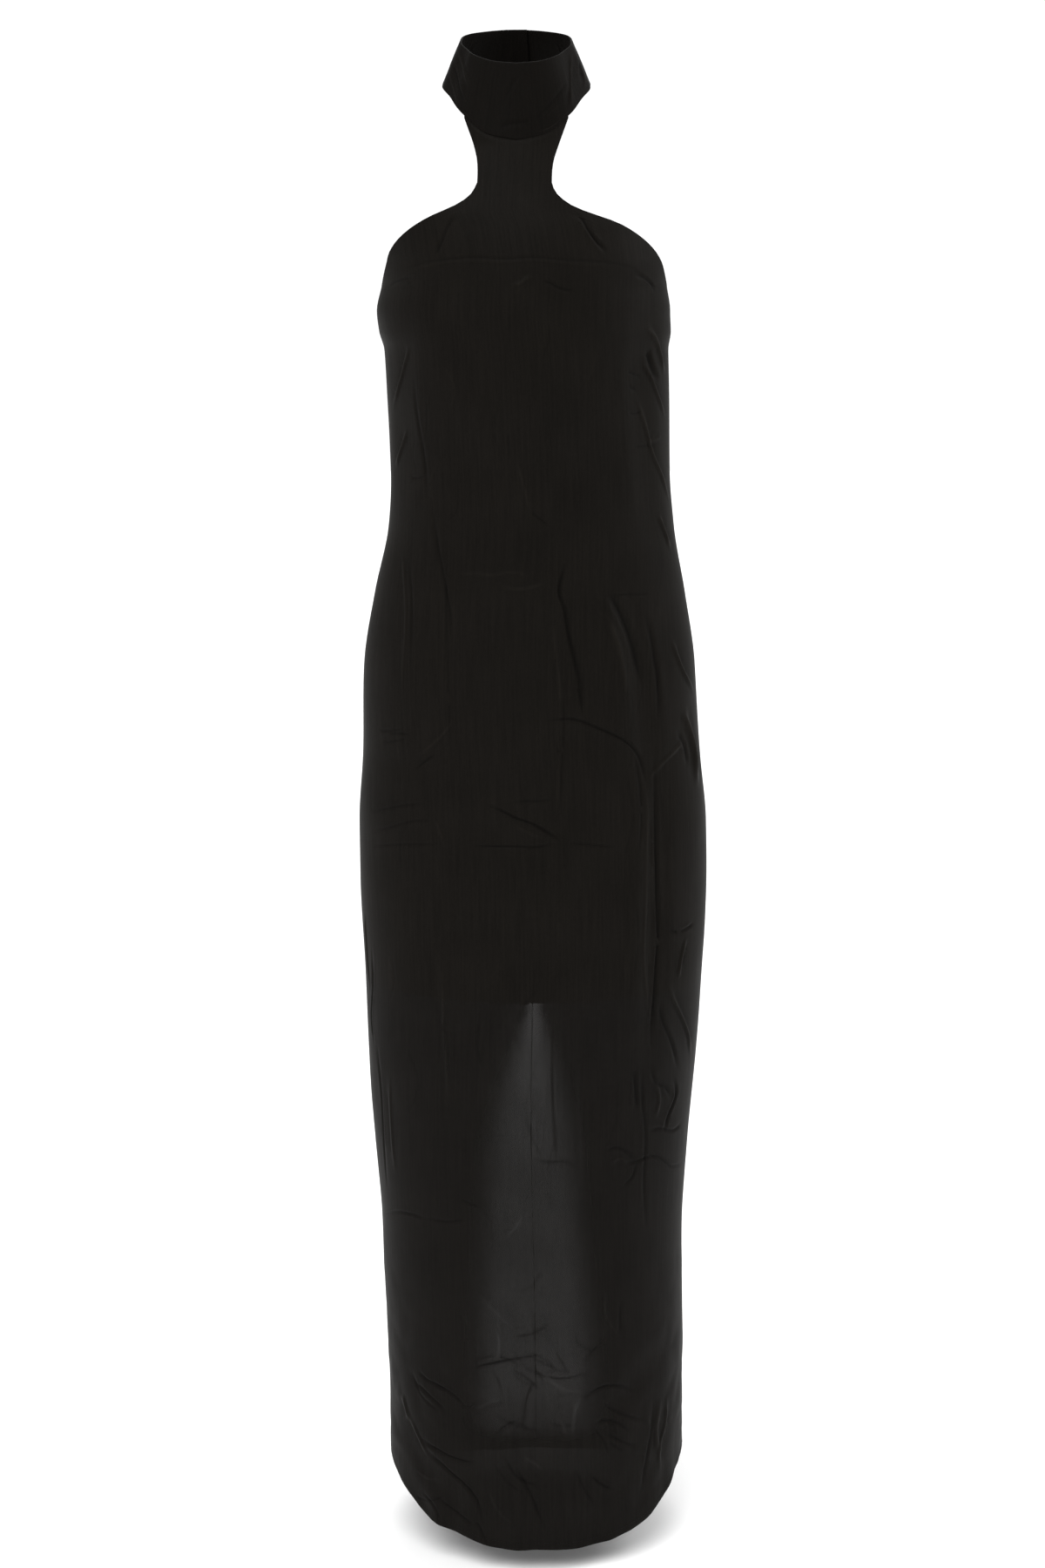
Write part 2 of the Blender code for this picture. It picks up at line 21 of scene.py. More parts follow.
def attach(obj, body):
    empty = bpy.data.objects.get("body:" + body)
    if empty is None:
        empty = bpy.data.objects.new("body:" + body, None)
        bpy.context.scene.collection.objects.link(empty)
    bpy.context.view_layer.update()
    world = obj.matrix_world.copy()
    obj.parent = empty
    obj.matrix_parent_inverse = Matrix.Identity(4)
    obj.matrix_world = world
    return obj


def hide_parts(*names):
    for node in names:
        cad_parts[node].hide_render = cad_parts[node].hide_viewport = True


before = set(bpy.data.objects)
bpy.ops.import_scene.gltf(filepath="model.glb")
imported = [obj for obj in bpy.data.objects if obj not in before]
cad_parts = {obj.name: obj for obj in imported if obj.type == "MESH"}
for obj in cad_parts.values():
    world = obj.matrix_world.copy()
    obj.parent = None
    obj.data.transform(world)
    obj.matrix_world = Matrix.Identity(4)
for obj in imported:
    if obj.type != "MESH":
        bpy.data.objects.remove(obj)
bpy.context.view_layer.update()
scene = bpy.context.scene
print("solids:", ", ".join(sorted(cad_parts)))

# %% [markdown]
# ## Camera and stage
# The dress is seen from 3 m away with a long lens, from the height of its chest, tilted down. The
# hem hangs 23 mm clear of a white floor that runs on into a white surround. A broad soft light falls
# from in front and above and a weaker one from behind, and an upright one stands at each side. They
# graze the black cloth, so that its folds draw bright and dark lines, and the creases add painted
# highlight and painted shade of their own.

# %% Camera
FLOOR = -1.487
CAMERA_HEIGHT = 1.35
CAMERA_DISTANCE = 3.0
CAMERA_TILT = math.radians(10.5)
CAMERA_ASIDE = 0.006
LENS_MM = 68.9
SENSOR_MM = 36.0

camera_data = bpy.data.cameras.new("camera")
camera_data.lens = LENS_MM
camera_data.sensor_width = SENSOR_MM
camera = bpy.data.objects.new("camera", camera_data)
camera.location = (CAMERA_ASIDE, -CAMERA_DISTANCE, FLOOR + CAMERA_HEIGHT)
camera.rotation_euler = (math.pi / 2 - CAMERA_TILT, 0.0, 0.0)
scene.collection.objects.link(camera)
scene.camera = camera
scene.view_settings.view_transform = "Standard"
print("camera at", tuple(round(v, 3) for v in camera.location))

# %% Floor
FLOOR_RADIUS = 14.0
FLOOR_WHITE = 0.98
FLOOR_ROUGHNESS = 0.90
FLOOR_GLOSS = 0.10


def new_material(name):
    """Material with its node tree and its shader."""
    material = bpy.data.materials.new(name)
    material.use_nodes = True
    return material, material.node_tree, material.node_tree.nodes["Principled BSDF"]


floor_shape = bmesh.new()
bmesh.ops.create_circle(floor_shape, cap_ends=True, segments=96, radius=FLOOR_RADIUS)
bmesh.ops.translate(floor_shape, vec=(0.0, 0.0, FLOOR), verts=floor_shape.verts)
floor_mesh = bpy.data.meshes.new("floor")
floor_shape.to_mesh(floor_mesh)
floor_shape.free()
floor = bpy.data.objects.new("floor", floor_mesh)
scene.collection.objects.link(floor)

floor_paint, _, paint = new_material("white floor")
paint.inputs["Base Color"].default_value = (FLOOR_WHITE, FLOOR_WHITE, FLOOR_WHITE, 1.0)
paint.inputs["Roughness"].default_value = FLOOR_ROUGHNESS
paint.inputs["Specular IOR Level"].default_value = FLOOR_GLOSS
floor_mesh.materials.append(floor_paint)
print("floor at", FLOOR)

# %% Surround
SURROUND_SEEN = 1.10        # white where it is seen
SURROUND_LIGHT = 0.62       # but less bright as a light

surround = bpy.data.worlds.new("surround")
surround.use_nodes = True
sky = surround.node_tree
seen, cast = sky.nodes["Background"], sky.nodes.new("ShaderNodeBackground")
for glow, strength in ((seen, SURROUND_SEEN), (cast, SURROUND_LIGHT)):
    glow.inputs["Strength"].default_value = strength
    glow.inputs["Color"].default_value = (1.0, 1.0, 1.0, 1.0)
which = sky.nodes.new("ShaderNodeLightPath")
either = sky.nodes.new("ShaderNodeMixShader")
sky.links.new(which.outputs["Is Camera Ray"], either.inputs["Fac"])
sky.links.new(cast.outputs["Background"], either.inputs[1])
sky.links.new(seen.outputs["Background"], either.inputs[2])
sky.links.new(either.outputs["Shader"], sky.nodes["World Output"].inputs["Surface"])
scene.world = surround
print("surround:", SURROUND_SEEN, "seen,", SURROUND_LIGHT, "cast")

# %% Soft lights
Light = namedtuple("Light", "name kind from_place strength spread size")
LIGHTS = (
    Light("key", "SUN", (-0.60, -1.2, 2.1), 2.1, math.radians(50), None),
    Light("fill behind", "SUN", (0.5, 1.2, 1.6), 0.9, math.radians(60), None),
    Light("strip right", "AREA", (-2.2, 0.2, 0.1), 3.2, None, (0.7, 1.6)),
    Light("strip left", "AREA", (2.0, 0.1, 0.6), 18.0, None, (0.7, 1.2)),
)
LIT_MIDDLE = Vector((0.0, 0.0, -0.7))


def hang_light(light):
    """A sun shines from its place to the origin, an area light to the middle of the dress.

    A sun's spread is how wide it looks.
    """
    lamp = bpy.data.lights.new(light.name, light.kind)
    lamp.energy = light.strength
    toward = -Vector(light.from_place)
    if light.kind == "SUN":
        lamp.angle = light.spread
    else:
        lamp.shape = "RECTANGLE"
        lamp.size, lamp.size_y = light.size
        toward += LIT_MIDDLE
    holder = bpy.data.objects.new(light.name, lamp)
    holder.location = light.from_place
    holder.rotation_euler = toward.to_track_quat("-Z", "Y").to_euler()
    scene.collection.objects.link(holder)


for light in LIGHTS:
    hang_light(light)
print("lights:", len(LIGHTS))

# %% [markdown]
# ## The cut, as sections
# A worn panel is a loft: at each height it follows an ellipse that the body under it sets. Blender
# could skin such sections by hand-placed loops, but a table with one row for each height reads
# better, and any number of points can be worked out from it. The rows below are the solids' own,
# so the cloth made from them lies where the solids are. Between rows, a curve that never
# overshoots keeps the outline smooth.

# %% Sections of the dress
HEM = -1.463            # at the centre front
SIDE_HEM_RISE = 0.060
UNDERARM = -0.193
BACK_TOP = -0.201
COLLAR_SEAM = -0.0545   # at the centre front
COLLAR_SEAM_RISE = 0.0230
LINING_TOP = -0.166     # at the centre front
LINING_SIDE_DROP = 0.036
LINING_HEM = -0.892

Section = namedtuple("Section", "height centre half_width front_depth back_depth")
BODY = (
    Section(HEM, 0.0212, 0.1540, 0.131, 0.131),
    Section(-1.348, 0.0203, 0.1538, 0.129, 0.129),
    Section(-1.252, 0.0185, 0.1552, 0.127, 0.127),
    Section(-1.156, 0.0160, 0.1562, 0.126, 0.125),
    Section(-1.061, 0.0152, 0.1624, 0.125, 0.124),
    Section(-0.968, 0.0164, 0.1692, 0.124, 0.124),
    Section(-0.875, 0.0174, 0.1733, 0.122, 0.125),
    Section(-0.784, 0.0172, 0.1768, 0.120, 0.127),
    Section(-0.730, 0.0166, 0.1765, 0.119, 0.128),
    Section(-0.657, 0.0150, 0.1708, 0.118, 0.128),
    Section(-0.568, 0.0130, 0.1668, 0.115, 0.118),
    Section(-0.497, 0.0134, 0.1559, 0.111, 0.105),
    Section(-0.427, 0.0148, 0.1425, 0.107, 0.094),
    Section(-0.375, 0.0138, 0.1390, 0.107, 0.091),
    Section(-0.300, 0.0115, 0.1400, 0.117, 0.096),
    Section(-0.256, 0.0098, 0.1406, 0.118, 0.100),
    Section(-0.237, 0.0084, 0.1444, 0.117, 0.101),
    Section(-0.218, 0.0070, 0.1450, 0.115, 0.101),
    Section(UNDERARM, 0.0078, 0.1406, 0.112, 0.101),
)

# Above the underarm the front narrows to a strap: reach is how far the cloth goes to each side.
Chest = namedtuple("Chest", "height centre half_width front_depth set_back reach")
CHEST = (
    Chest(UNDERARM, 0.0078, 0.1406, 0.1120, 0.0000, 0.1406),
    Chest(-0.1725, 0.0078, 0.1415, 0.1090, 0.0000, 0.1352),
    Chest(-0.1624, 0.0065, 0.1415, 0.1070, 0.0000, 0.1312),
    Chest(-0.1523, 0.0051, 0.1412, 0.1045, 0.0002, 0.1238),
    Chest(-0.1424, 0.0037, 0.1405, 0.1015, 0.0004, 0.1127),
    Chest(-0.1325, 0.0020, 0.1390, 0.0980, 0.0007, 0.0970),
    Chest(-0.1226, -0.0024, 0.1350, 0.0940, 0.0011, 0.0730),
    Chest(-0.1177, -0.0030, 0.1318, 0.0919, 0.0013, 0.0600),
    Chest(-0.1128, -0.0027, 0.1280, 0.0898, 0.0016, 0.0512),
    Chest(-0.1079, -0.0022, 0.1232, 0.0876, 0.0019, 0.0442),
    Chest(-0.1029, -0.0022, 0.1180, 0.0855, 0.0022, 0.0398),
    Chest(-0.0931, -0.0016, 0.1060, 0.0814, 0.0028, 0.0358),
    Chest(-0.0833, -0.0013, 0.0950, 0.0778, 0.0035, 0.0359),
    Chest(-0.0734, -0.0008, 0.0850, 0.0742, 0.0042, 0.0369),
    Chest(-0.0635, -0.0003, 0.0775, 0.0706, 0.0047, 0.0395),
    Chest(COLLAR_SEAM, 0.0000, 0.0740, 0.0679, 0.0050, 0.0424),
    Chest(-0.0437, 0.0000, 0.0728, 0.0675, 0.0050, 0.0464),
    Chest(-0.0310, 0.0000, 0.0725, 0.0675, 0.0050, 0.0510),
)

# How far a level climbs from the middle of a panel to its side.
Rise = namedtuple("Rise", "height rise")
SKIRT_RISE = (Rise(HEM, SIDE_HEM_RISE), Rise(-1.340, 0.022), Rise(-1.200, 0.006), Rise(-1.050, 0.0))
FRONT_RISE = SKIRT_RISE + (Rise(-0.125, 0.0), Rise(-0.092, 0.006), Rise(COLLAR_SEAM, COLLAR_SEAM_RISE))
BACK_RISE = SKIRT_RISE + (Rise(-0.300, 0.0), Rise(BACK_TOP, UNDERARM - BACK_TOP))
HEM_SHARPNESS = 4.2         # the higher, the nearer to its sides a skirt panel climbs
STRAP_SHARPNESS = 2.3       # the same for the strap
print("sections:", len(BODY), "below the underarm,", len(CHEST), "above")


# %% A smooth curve through a table
def curve_value(rows, key, column, at):
    """A column's value at each place in an array, on a curve that never overshoots the rows."""
    xs = np.array([getattr(row, key) for row in rows])
    ys = np.array([getattr(row, column) for row in rows])
    slopes = np.diff(ys) / np.diff(xs)
    before, after = slopes[:-1], slopes[1:]
    same_way = before * after > 0
    middle = 2 * before * after / np.where(same_way, before + after, 1.0)
    tangents = np.concatenate((slopes[:1], np.where(same_way, middle, 0.0), slopes[-1:]))
    at = np.clip(at, xs[0], xs[-1])
    i = np.clip(np.searchsorted(xs, at, side="right") - 1, 0, len(xs) - 2)
    step = xs[i + 1] - xs[i]
    t = (at - xs[i]) / step
    start = ys[i] * (1 + 2 * t) * (1 - t) ** 2 + step * tangents[i] * t * (1 - t) ** 2
    end = ys[i + 1] * t * t * (3 - 2 * t) - step * tangents[i + 1] * t * t * (1 - t)
    return start + end


print("half width at the waist:", round(float(curve_value(BODY, "height", "half_width", -0.375)), 4))

# %% [markdown]
# ## Where a point of cloth lies
# Each panel has two coordinates: *across* it, and the *level* that its threads would lie on if they
# ran level. A form turns the two into a place in the room, the way out from the body there, and
# the distance round the body, in which creases are drawn. Working on whole arrays with numpy takes
# a fraction of a second for a hundred thousand points, where a plain loop would take a minute.

# %% A form on an ellipse
Form = namedtuple("Form", "x y z out_x out_y round_the_body")
ARC_STEPS = 24


def arc_length(width, depth, angle):
    """Distance along an ellipse from its middle to an angle, for arrays of ellipses."""
    total = np.zeros(np.broadcast(width, depth, angle).shape)
    for k in range(ARC_STEPS):
        part = angle * (k + 0.5) / ARC_STEPS
        total += np.hypot(width * np.cos(part), depth * np.sin(part))
    return total * angle / ARC_STEPS


def body_form(width, depth, centre, set_back, angle, height, facing):
    """Form on an ellipse. facing is -1 for the front and 1 for the back."""
    x, y = width * np.sin(angle), facing * depth * np.cos(angle)
    slope_x, slope_y = x / width**2, y / depth**2
    length = np.hypot(slope_x, slope_y)
    around = arc_length(width, depth, angle)
    return Form(centre + x, set_back + y, height, slope_x / length, slope_y / length, around)


hips = max(BODY, key=lambda row: row.half_width)
quarter = arc_length(hips.half_width, hips.front_depth, math.pi / 2)
print("a quarter of the hips' girth:", round(float(quarter), 3), "m")

# %% The uneven hem
HemWave = namedtuple("HemWave", "swing turns phase")
FRONT_HEM_WAVES = (HemWave(0.0017, 1.6, 0.4), HemWave(0.0013, 3.1, 2.1), HemWave(0.0009, 5.7, 4.4))
BACK_HEM_WAVES = (HemWave(0.0015, 1.9, 3.0), HemWave(0.0012, 3.6, 0.9), HemWave(0.0008, 6.1, 5.2))
WAVY_HEM = 0.070            # the unevenness of the hem dies out this far up


def hem_waves(across, level, waves):
    """How much lower an uneven hem hangs, which is nothing at the side seams."""
    near = np.clip(1 - (level - HEM) / WAVY_HEM, 0.0, 1.0) * (1 - np.clip(across, -1, 1) ** 4)
    return near * sum(w.swing * np.sin(math.pi * w.turns * across + w.phase) for w in waves)


middle_hem = hem_waves(np.array([0.0]), np.array([HEM]), FRONT_HEM_WAVES)
print("the middle of the front hem hangs", round(float(middle_hem[0]) * 1000, 1), "mm low")


# %% Forms of the panels
def body_value(column, height):
    """A column's value below the underarm."""
    return curve_value(BODY, "height", column, height)


def front_value(column, height):
    """A column's value on the front, from the chest's rows above the underarm."""
    chest = curve_value(CHEST, "height", column, height)
    return np.where(height > UNDERARM, chest, body_value(column, height))


def front_half_angle(edge):
    """Angle from the centre front to the panel's edge, where that edge lies at a height."""
    reach = curve_value(CHEST, "height", "reach", edge)
    widest = curve_value(CHEST, "height", "half_width", edge)
    return np.where(edge > UNDERARM, np.arcsin(np.minimum(1.0, reach / widest)), math.pi / 2)


def side_bend(across):
    """How a level climbs from 0 in the middle of a panel to 1 at its side seam."""
    return np.sin(math.pi / 2 * np.minimum(np.abs(across), 1.0)) ** HEM_SHARPNESS


def front_form(across, level):
    """Front panel: across runs from -1, the wearer's right edge, to 1."""
    climb = curve_value(FRONT_RISE, "height", "rise", level)
    edge = level + climb
    strap_bend = np.abs(across) ** STRAP_SHARPNESS
    height = level + climb * np.where(edge > UNDERARM, strap_bend, side_bend(across))
    height = height - hem_waves(across, level, FRONT_HEM_WAVES)
    set_back = curve_value(CHEST, "height", "set_back", height)
    width, depth, centre = (front_value(c, height) for c in ("half_width", "front_depth", "centre"))
    return body_form(width, depth, centre, set_back, across * front_half_angle(edge), height, -1)


def back_form(across, level):
    """The back: across runs from -1, the right side seam, over 0, the centre seam, to 1."""
    climb = curve_value(BACK_RISE, "height", "rise", level)
    height = level + climb * side_bend(across) - hem_waves(across, level, BACK_HEM_WAVES)
    width, depth, centre = (body_value(c, height) for c in ("half_width", "back_depth", "centre"))
    return body_form(width, depth, centre, 0.0, across * math.pi / 2, height, 1)


hem_side = front_form(np.array([1.0]), np.array([HEM]))
print("hem at the left side seam:", round(float(hem_side.x[0]), 3), round(float(hem_side.z[0]), 3))

# %% [markdown]
# ## Folds and creases
# Silk that hangs from a neck and is pulled over hips creases in ways of its own: drags run from the
# underarms to the waist, a long fold falls from the belly over the left thigh, a pleat hangs down
# the left side, and the hem, which has been walked in, is crumpled. Cloth simulation makes such
# folds, but never these ones. So each is drawn here as a soft trough or ridge with its own
# depth, width and route. depth is how far the cloth sinks in the middle (below 0 it stands up),
# half_width how far it fades to each side, and a route's points are (x, height) as seen from the
# panel's own side. The panels' tables give all of these in mm.

# %% The broad folds, as in the solids
Fold = namedtuple("Fold", "name depth half_width route")


def from_millimetres(kind, rows):
    """Folds or creases in metres, of rows in mm."""
    made = []
    for name, depth, half_width, route in rows:
        points = tuple((x / 1000, height / 1000) for x, height in route)
        made.append(kind(name, depth / 1000, half_width / 1000, points))
    return tuple(made)


FRONT_FOLDS = from_millimetres(Fold, (
    ("long thigh fold", 4.5, 20, ((45, -470), (48, -525), (60, -600), (66, -690))),
    ("thigh roll", -4.5, 18, ((88, -500), (101, -540), (102, -590), (108, -650))),
    ("beside the roll", 4.5, 18, ((108, -500), (124, -560), (130, -640), (136, -740))),
    ("hip crescent", 3.5, 16, ((24, -628), (66, -628), (98, -644), (124, -668))),
    ("side pleat", 5, 17, ((146, -660), (140, -760), (139, -860), (132, -960))),
    ("beside the pleat", -3.5, 16, ((122, -700), (118, -800), (116, -900))),
    ("slanting fold", 3, 16, ((-34, -712), (5, -735), (36, -756))),
    ("right hip crescent", 3, 18, ((-128, -662), (-88, -658), (-60, -626))),
    ("left bust drag", 4, 18, ((128, -215), (118, -280), (124, -350), (132, -430))),
    ("right bust drag", 3, 18, ((-108, -225), (-112, -300), (-106, -380))),
    ("left drag above the hem", 3.5, 20, ((70, -1350), (110, -1310), (145, -1270))),
    ("right hem drag", 3.5, 20, ((-125, -1345), (-85, -1400), (-45, -1440))),
))
BACK_FOLDS = from_millimetres(Fold, (
    ("seat fold", 4, 22, ((-50, -792), (0, -770), (50, -772), (90, -796))),
    ("left back drape", 4.5, 24, ((80, -880), (86, -1040), (90, -1260))),
    ("right back drape", 4.5, 24, ((-52, -880), (-56, -1080), (-64, -1300))),
    ("left waist drag", 3.5, 20, ((120, -360), (80, -400), (46, -455))),
    ("right waist drag", 3.5, 20, ((-94, -350), (-56, -395), (-20, -440))),
))
print("broad folds:", len(FRONT_FOLDS), "in front,", len(BACK_FOLDS), "behind")


# %% How a broad fold presses on the cloth
FOLD_END = 0.12             # where on a half wave of depth a fold starts


def distance_to_route(route, x, height):
    """Distance from each point to a route, and how far along it from 0 to 1 the nearest place is."""
    best = np.full(np.shape(x), 1.0)
    along = np.zeros(np.shape(x))
    legs = len(route) - 1
    for k in range(legs):
        run, climb = route[k + 1] - route[k]
        t = ((x - route[k][0]) * run + (height - route[k][1]) * climb) / (run * run + climb * climb)
        t = np.clip(t, 0.0, 1.0)
        gap = np.hypot(x - route[k][0] - t * run, height - route[k][1] - t * climb)
        along = np.where(gap < best, (k + t) / legs, along)
        best = np.minimum(best, gap)
    return best, along


def half_wave(end, along):
    """1 half way along, and lower towards both ends, where it has come down to sin(pi * end)."""
    return np.sin(math.pi * (end + (1 - 2 * end) * along))


def fold_sink(folds, x, height):
    """How far the broad folds sink the cloth at each point."""
    sink = np.zeros(np.shape(x))
    for fold in folds:
        near, along = distance_to_route(np.array(fold.route), x, height)
        across = np.maximum(0.0, 1 - (near / fold.half_width) ** 2) ** 2
        sink += fold.depth * across * half_wave(FOLD_END, along)
    return sink


on_thigh_fold = fold_sink(FRONT_FOLDS, np.array([0.052]), np.array([-0.56]))
print("sink in the long thigh fold:", round(float(on_thigh_fold[0]) * 1000, 1), "mm")

# %% Soft waves and crumples
WAVES = 26
WAVE_LENGTHS = (0.050, 0.160)
WAVE_SQUASH = 0.62          # below 1, so swells are taller than they are wide
CRUMPLE_CELL = 0.030
CRUMPLE_SQUASH = 0.85
CRUMPLE_SLICE = 0.35        # the level of the noise that is cut
CRUMPLE_EDGE = 1.6          # the higher, the sharper a facet's edge
CRUMPLE_LEAST = 0.01


def soft_waves(around, height, seed):
    """Uneven swells between -1 and 1 or so, a little taller than they are wide."""
    draw = np.random.default_rng(seed)
    swell = np.zeros(np.shape(around))
    for _ in range(WAVES):
        turn, phase = draw.uniform(0, 2 * math.pi, 2)
        length = draw.uniform(*WAVE_LENGTHS)
        along = around * math.cos(turn) + WAVE_SQUASH * height * math.sin(turn)
        swell += np.sin(2 * math.pi * along / length + phase)
    return swell / math.sqrt(WAVES)


def crumple(around, height, wanted):
    """Sharp-edged facets between 0 and 1, worked out only where they are wanted."""
    facets = np.zeros(np.shape(around))
    for k in np.flatnonzero(wanted > CRUMPLE_LEAST):
        spot = Vector((around.flat[k], height.flat[k] * CRUMPLE_SQUASH, CRUMPLE_SLICE)) / CRUMPLE_CELL
        near = noise.voronoi(spot)[0]
        facets.flat[k] = min(1.0, CRUMPLE_EDGE * (near[1] - near[0]))
    return facets * wanted


print("waves from", WAVE_LENGTHS[0], "to", WAVE_LENGTHS[1], "m")

# %% Reading a crease's route
Crease = namedtuple("Crease", "name depth half_width route")
ROUTE_STEPS = 7
SEEN_EDGE = 0.992           # a route stays within this share of the seen outline


def rounded_route(points):
    """A smooth run of points through a route's own."""
    padded = np.vstack((2 * points[0] - points[1], points, 2 * points[-1] - points[-2]))
    run = []
    for before, start, end, after in zip(padded, padded[1:], padded[2:], padded[3:]):
        for t in np.linspace(0, 1, ROUTE_STEPS, endpoint=False):
            bend = 2 * before - 5 * start + 4 * end - after
            twist = 3 * start - before - 3 * end + after
            run.append(start + 0.5 * t * (end - before + t * (bend + t * twist)))
    return np.vstack((run, points[-1:]))


def unrolled(x, centre, width, depth):
    """Distance round an ellipse at which a point seen at x lies."""
    share = np.clip((x - centre) / width, -SEEN_EDGE, SEEN_EDGE)
    return arc_length(width, depth, np.arcsin(share))


def unroll_front(x, height):
    """Distance round the front at which a point seen at x lies."""
    return unrolled(x, *(front_value(c, height) for c in ("centre", "half_width", "front_depth")))


def unroll_back(x, height):
    """The same for the back."""
    return unrolled(x, *(body_value(c, height) for c in ("centre", "half_width", "back_depth")))


print("a route is read in", ROUTE_STEPS, "steps from point to point")

# %% Drawing creases
REACH = 3.6                 # a crease is drawn this many half widths to each side
END_WIDTH = 1.25            # its width at its ends, in half widths
NARROWING = 0.5             # and how much less it is half way
SHOULDER = 0.26             # cloth beside a trough swells a little
SHOULDER_AWAY = 2.1         # this many widths from its middle
END_TAPER = 0.30            # share of its length over which it fades at each end
END_DEPTH = 0.06            # head start of that fade
FULL_PAINT_DEPTH = 0.0018         # a crease this deep gets the strongest painted line of shade or highlight
PAINT_WIDTH_SHARE = 0.62           # of the crease's width
PAINT_WIDTH_LEAST = 0.0011         # and its least width


def eased(t):
    """0 to 1, with a gentle start and end."""
    return t * t * (3 - 2 * t)


def draw_creases(creases, around, height, unroll):
    """How far the creases sink the cloth of a grid, and how strong a painted line of shade or highlight each
    leaves.
    """
    sink = np.zeros(np.shape(around))
    # line: painted shade along a trough, above 0, and painted highlight along a ridge, below 0, for the
    # materials.
    line = np.zeros(np.shape(around))
    for crease in creases:
        points = np.array(crease.route)
        route = rounded_route(np.column_stack((unroll(points[:, 0], points[:, 1]), points[:, 1])))
        reach = REACH * crease.half_width
        low, high = route.min(axis=0) - reach, route.max(axis=0) + reach
        near = (around > low[0]) & (around < high[0]) & (height > low[1]) & (height < high[1])
        away, along = distance_to_route(route, around[near], height[near])
        width = crease.half_width * (END_WIDTH - NARROWING * np.sin(math.pi * along))
        shoulder = SHOULDER * np.exp(-((away - SHOULDER_AWAY * width) / width) ** 2)
        taper = eased(np.minimum(1.0, np.minimum(along, 1 - along) / END_TAPER + END_DEPTH))
        sink[near] += crease.depth * (np.exp(-(away / width) ** 2) - shoulder) * taper
        strength = math.copysign(math.sqrt(min(1.0, abs(crease.depth) / FULL_PAINT_DEPTH)), crease.depth)
        paint_width = np.maximum(PAINT_WIDTH_LEAST, PAINT_WIDTH_SHARE * width)
        line[near] += strength * np.exp(-(away / paint_width) ** 2) * taper
    return sink, np.clip(line, -1.0, 1.0)


print("a crease fades out", round(END_TAPER * 100), "% of its length from each end")

# %% Creases of the chest
CHEST_CREASES = from_millimetres(Crease, (
    ("under the strap", 0.9, 1.8, ((-36, -103), (-22, -105), (-7, -105))),
    ("right chest", 0.9, 2.4, ((-60, -124), (-66, -137), (-72, -152), (-79, -166))),
    ("left chest", 1.6, 2.1, ((58, -121), (68, -137), (77, -150), (87, -160))),
    ("lining edge shows", 0.3, 1.5, (
        (-121, -184), (-105, -175), (-79, -168), (-44, -165), (-11, -166), (16, -165), (47, -167),
        (81, -169), (108, -174), (128, -183))),
    ("below the lining edge", -0.2, 1.5, (
        (-119, -189), (-103, -179), (-78, -171), (-44, -168), (-11, -169), (18, -167), (49, -170),
        (81, -173), (106, -177))),
    ("right bust arc", 0.7, 1.8, ((-124, -193), (-116, -188), (-107, -185), (-97, -185))),
    ("middle bust arc", -0.8, 1.8, ((-5, -191), (4, -189), (9, -185), (16, -182))),
    ("left bust arc", 0.8, 1.9, ((24, -186), (33, -189), (43, -194), (59, -197))),
    ("left underarm", 1.2, 1.9, ((112, -180), (124, -185), (131, -191), (135, -199))),
))
print("creases of the chest:", len(CHEST_CREASES))

# %% Drags from the underarms to the waist
WAIST_CREASES = from_millimetres(Crease, (
    ("right side drag", -1.4, 2.1, ((-104, -248), (-109, -266), (-115, -286), (-122, -313))),
    ("right waist drag", -1.4, 2.1, ((-107, -330), (-113, -348), (-119, -369))),
    ("beside the right drag", 0.7, 2.4, ((-99, -275), (-97, -308), (-92, -340), (-88, -369), (-87, -394))),
    ("right tick", 0.7, 1.5, ((-107, -378), (-96, -377), (-87, -374))),
    ("middle waist line", 0.6, 1.6, ((-8, -328), (-7, -341), (-5, -358))),
    ("belly drag", -0.9, 1.5, ((1, -358), (5, -373), (9, -389), (13, -405))),
    ("belly drag's end", 0.6, 1.6, ((14, -404), (20, -411), (33, -421))),
    ("left side ridge", -1.8, 2.9, ((127, -232), (135, -242), (140, -257), (145, -280))),
    ("left side hollow", 2.4, 3.8, ((128, -252), (131, -266), (138, -286))),
    ("left side drag", -1.4, 2.1, ((122, -262), (130, -278), (138, -299), (146, -321))),
    ("left waist drag", -1.4, 2.2, ((117, -298), (126, -323), (134, -354), (144, -380), (152, -406))),
    ("left hip drag", -1.6, 2.4, ((140, -414), (146, -430), (153, -450))),
    ("left tick 1", 0.8, 1.5, ((108, -273), (114, -276), (122, -279))),
    ("left tick 2", 0.8, 1.5, ((109, -287), (114, -290), (120, -290))),
    ("left tick 3", 0.8, 1.5, ((109, -313), (116, -314), (123, -312))),
    ("left tick 4", -0.6, 1.5, ((126, -339), (134, -341), (142, -338))),
    ("left tick 5", 0.6, 1.5, ((113, -346), (126, -346), (138, -346))),
))
print("drags from the underarms to the waist:", len(WAIST_CREASES))

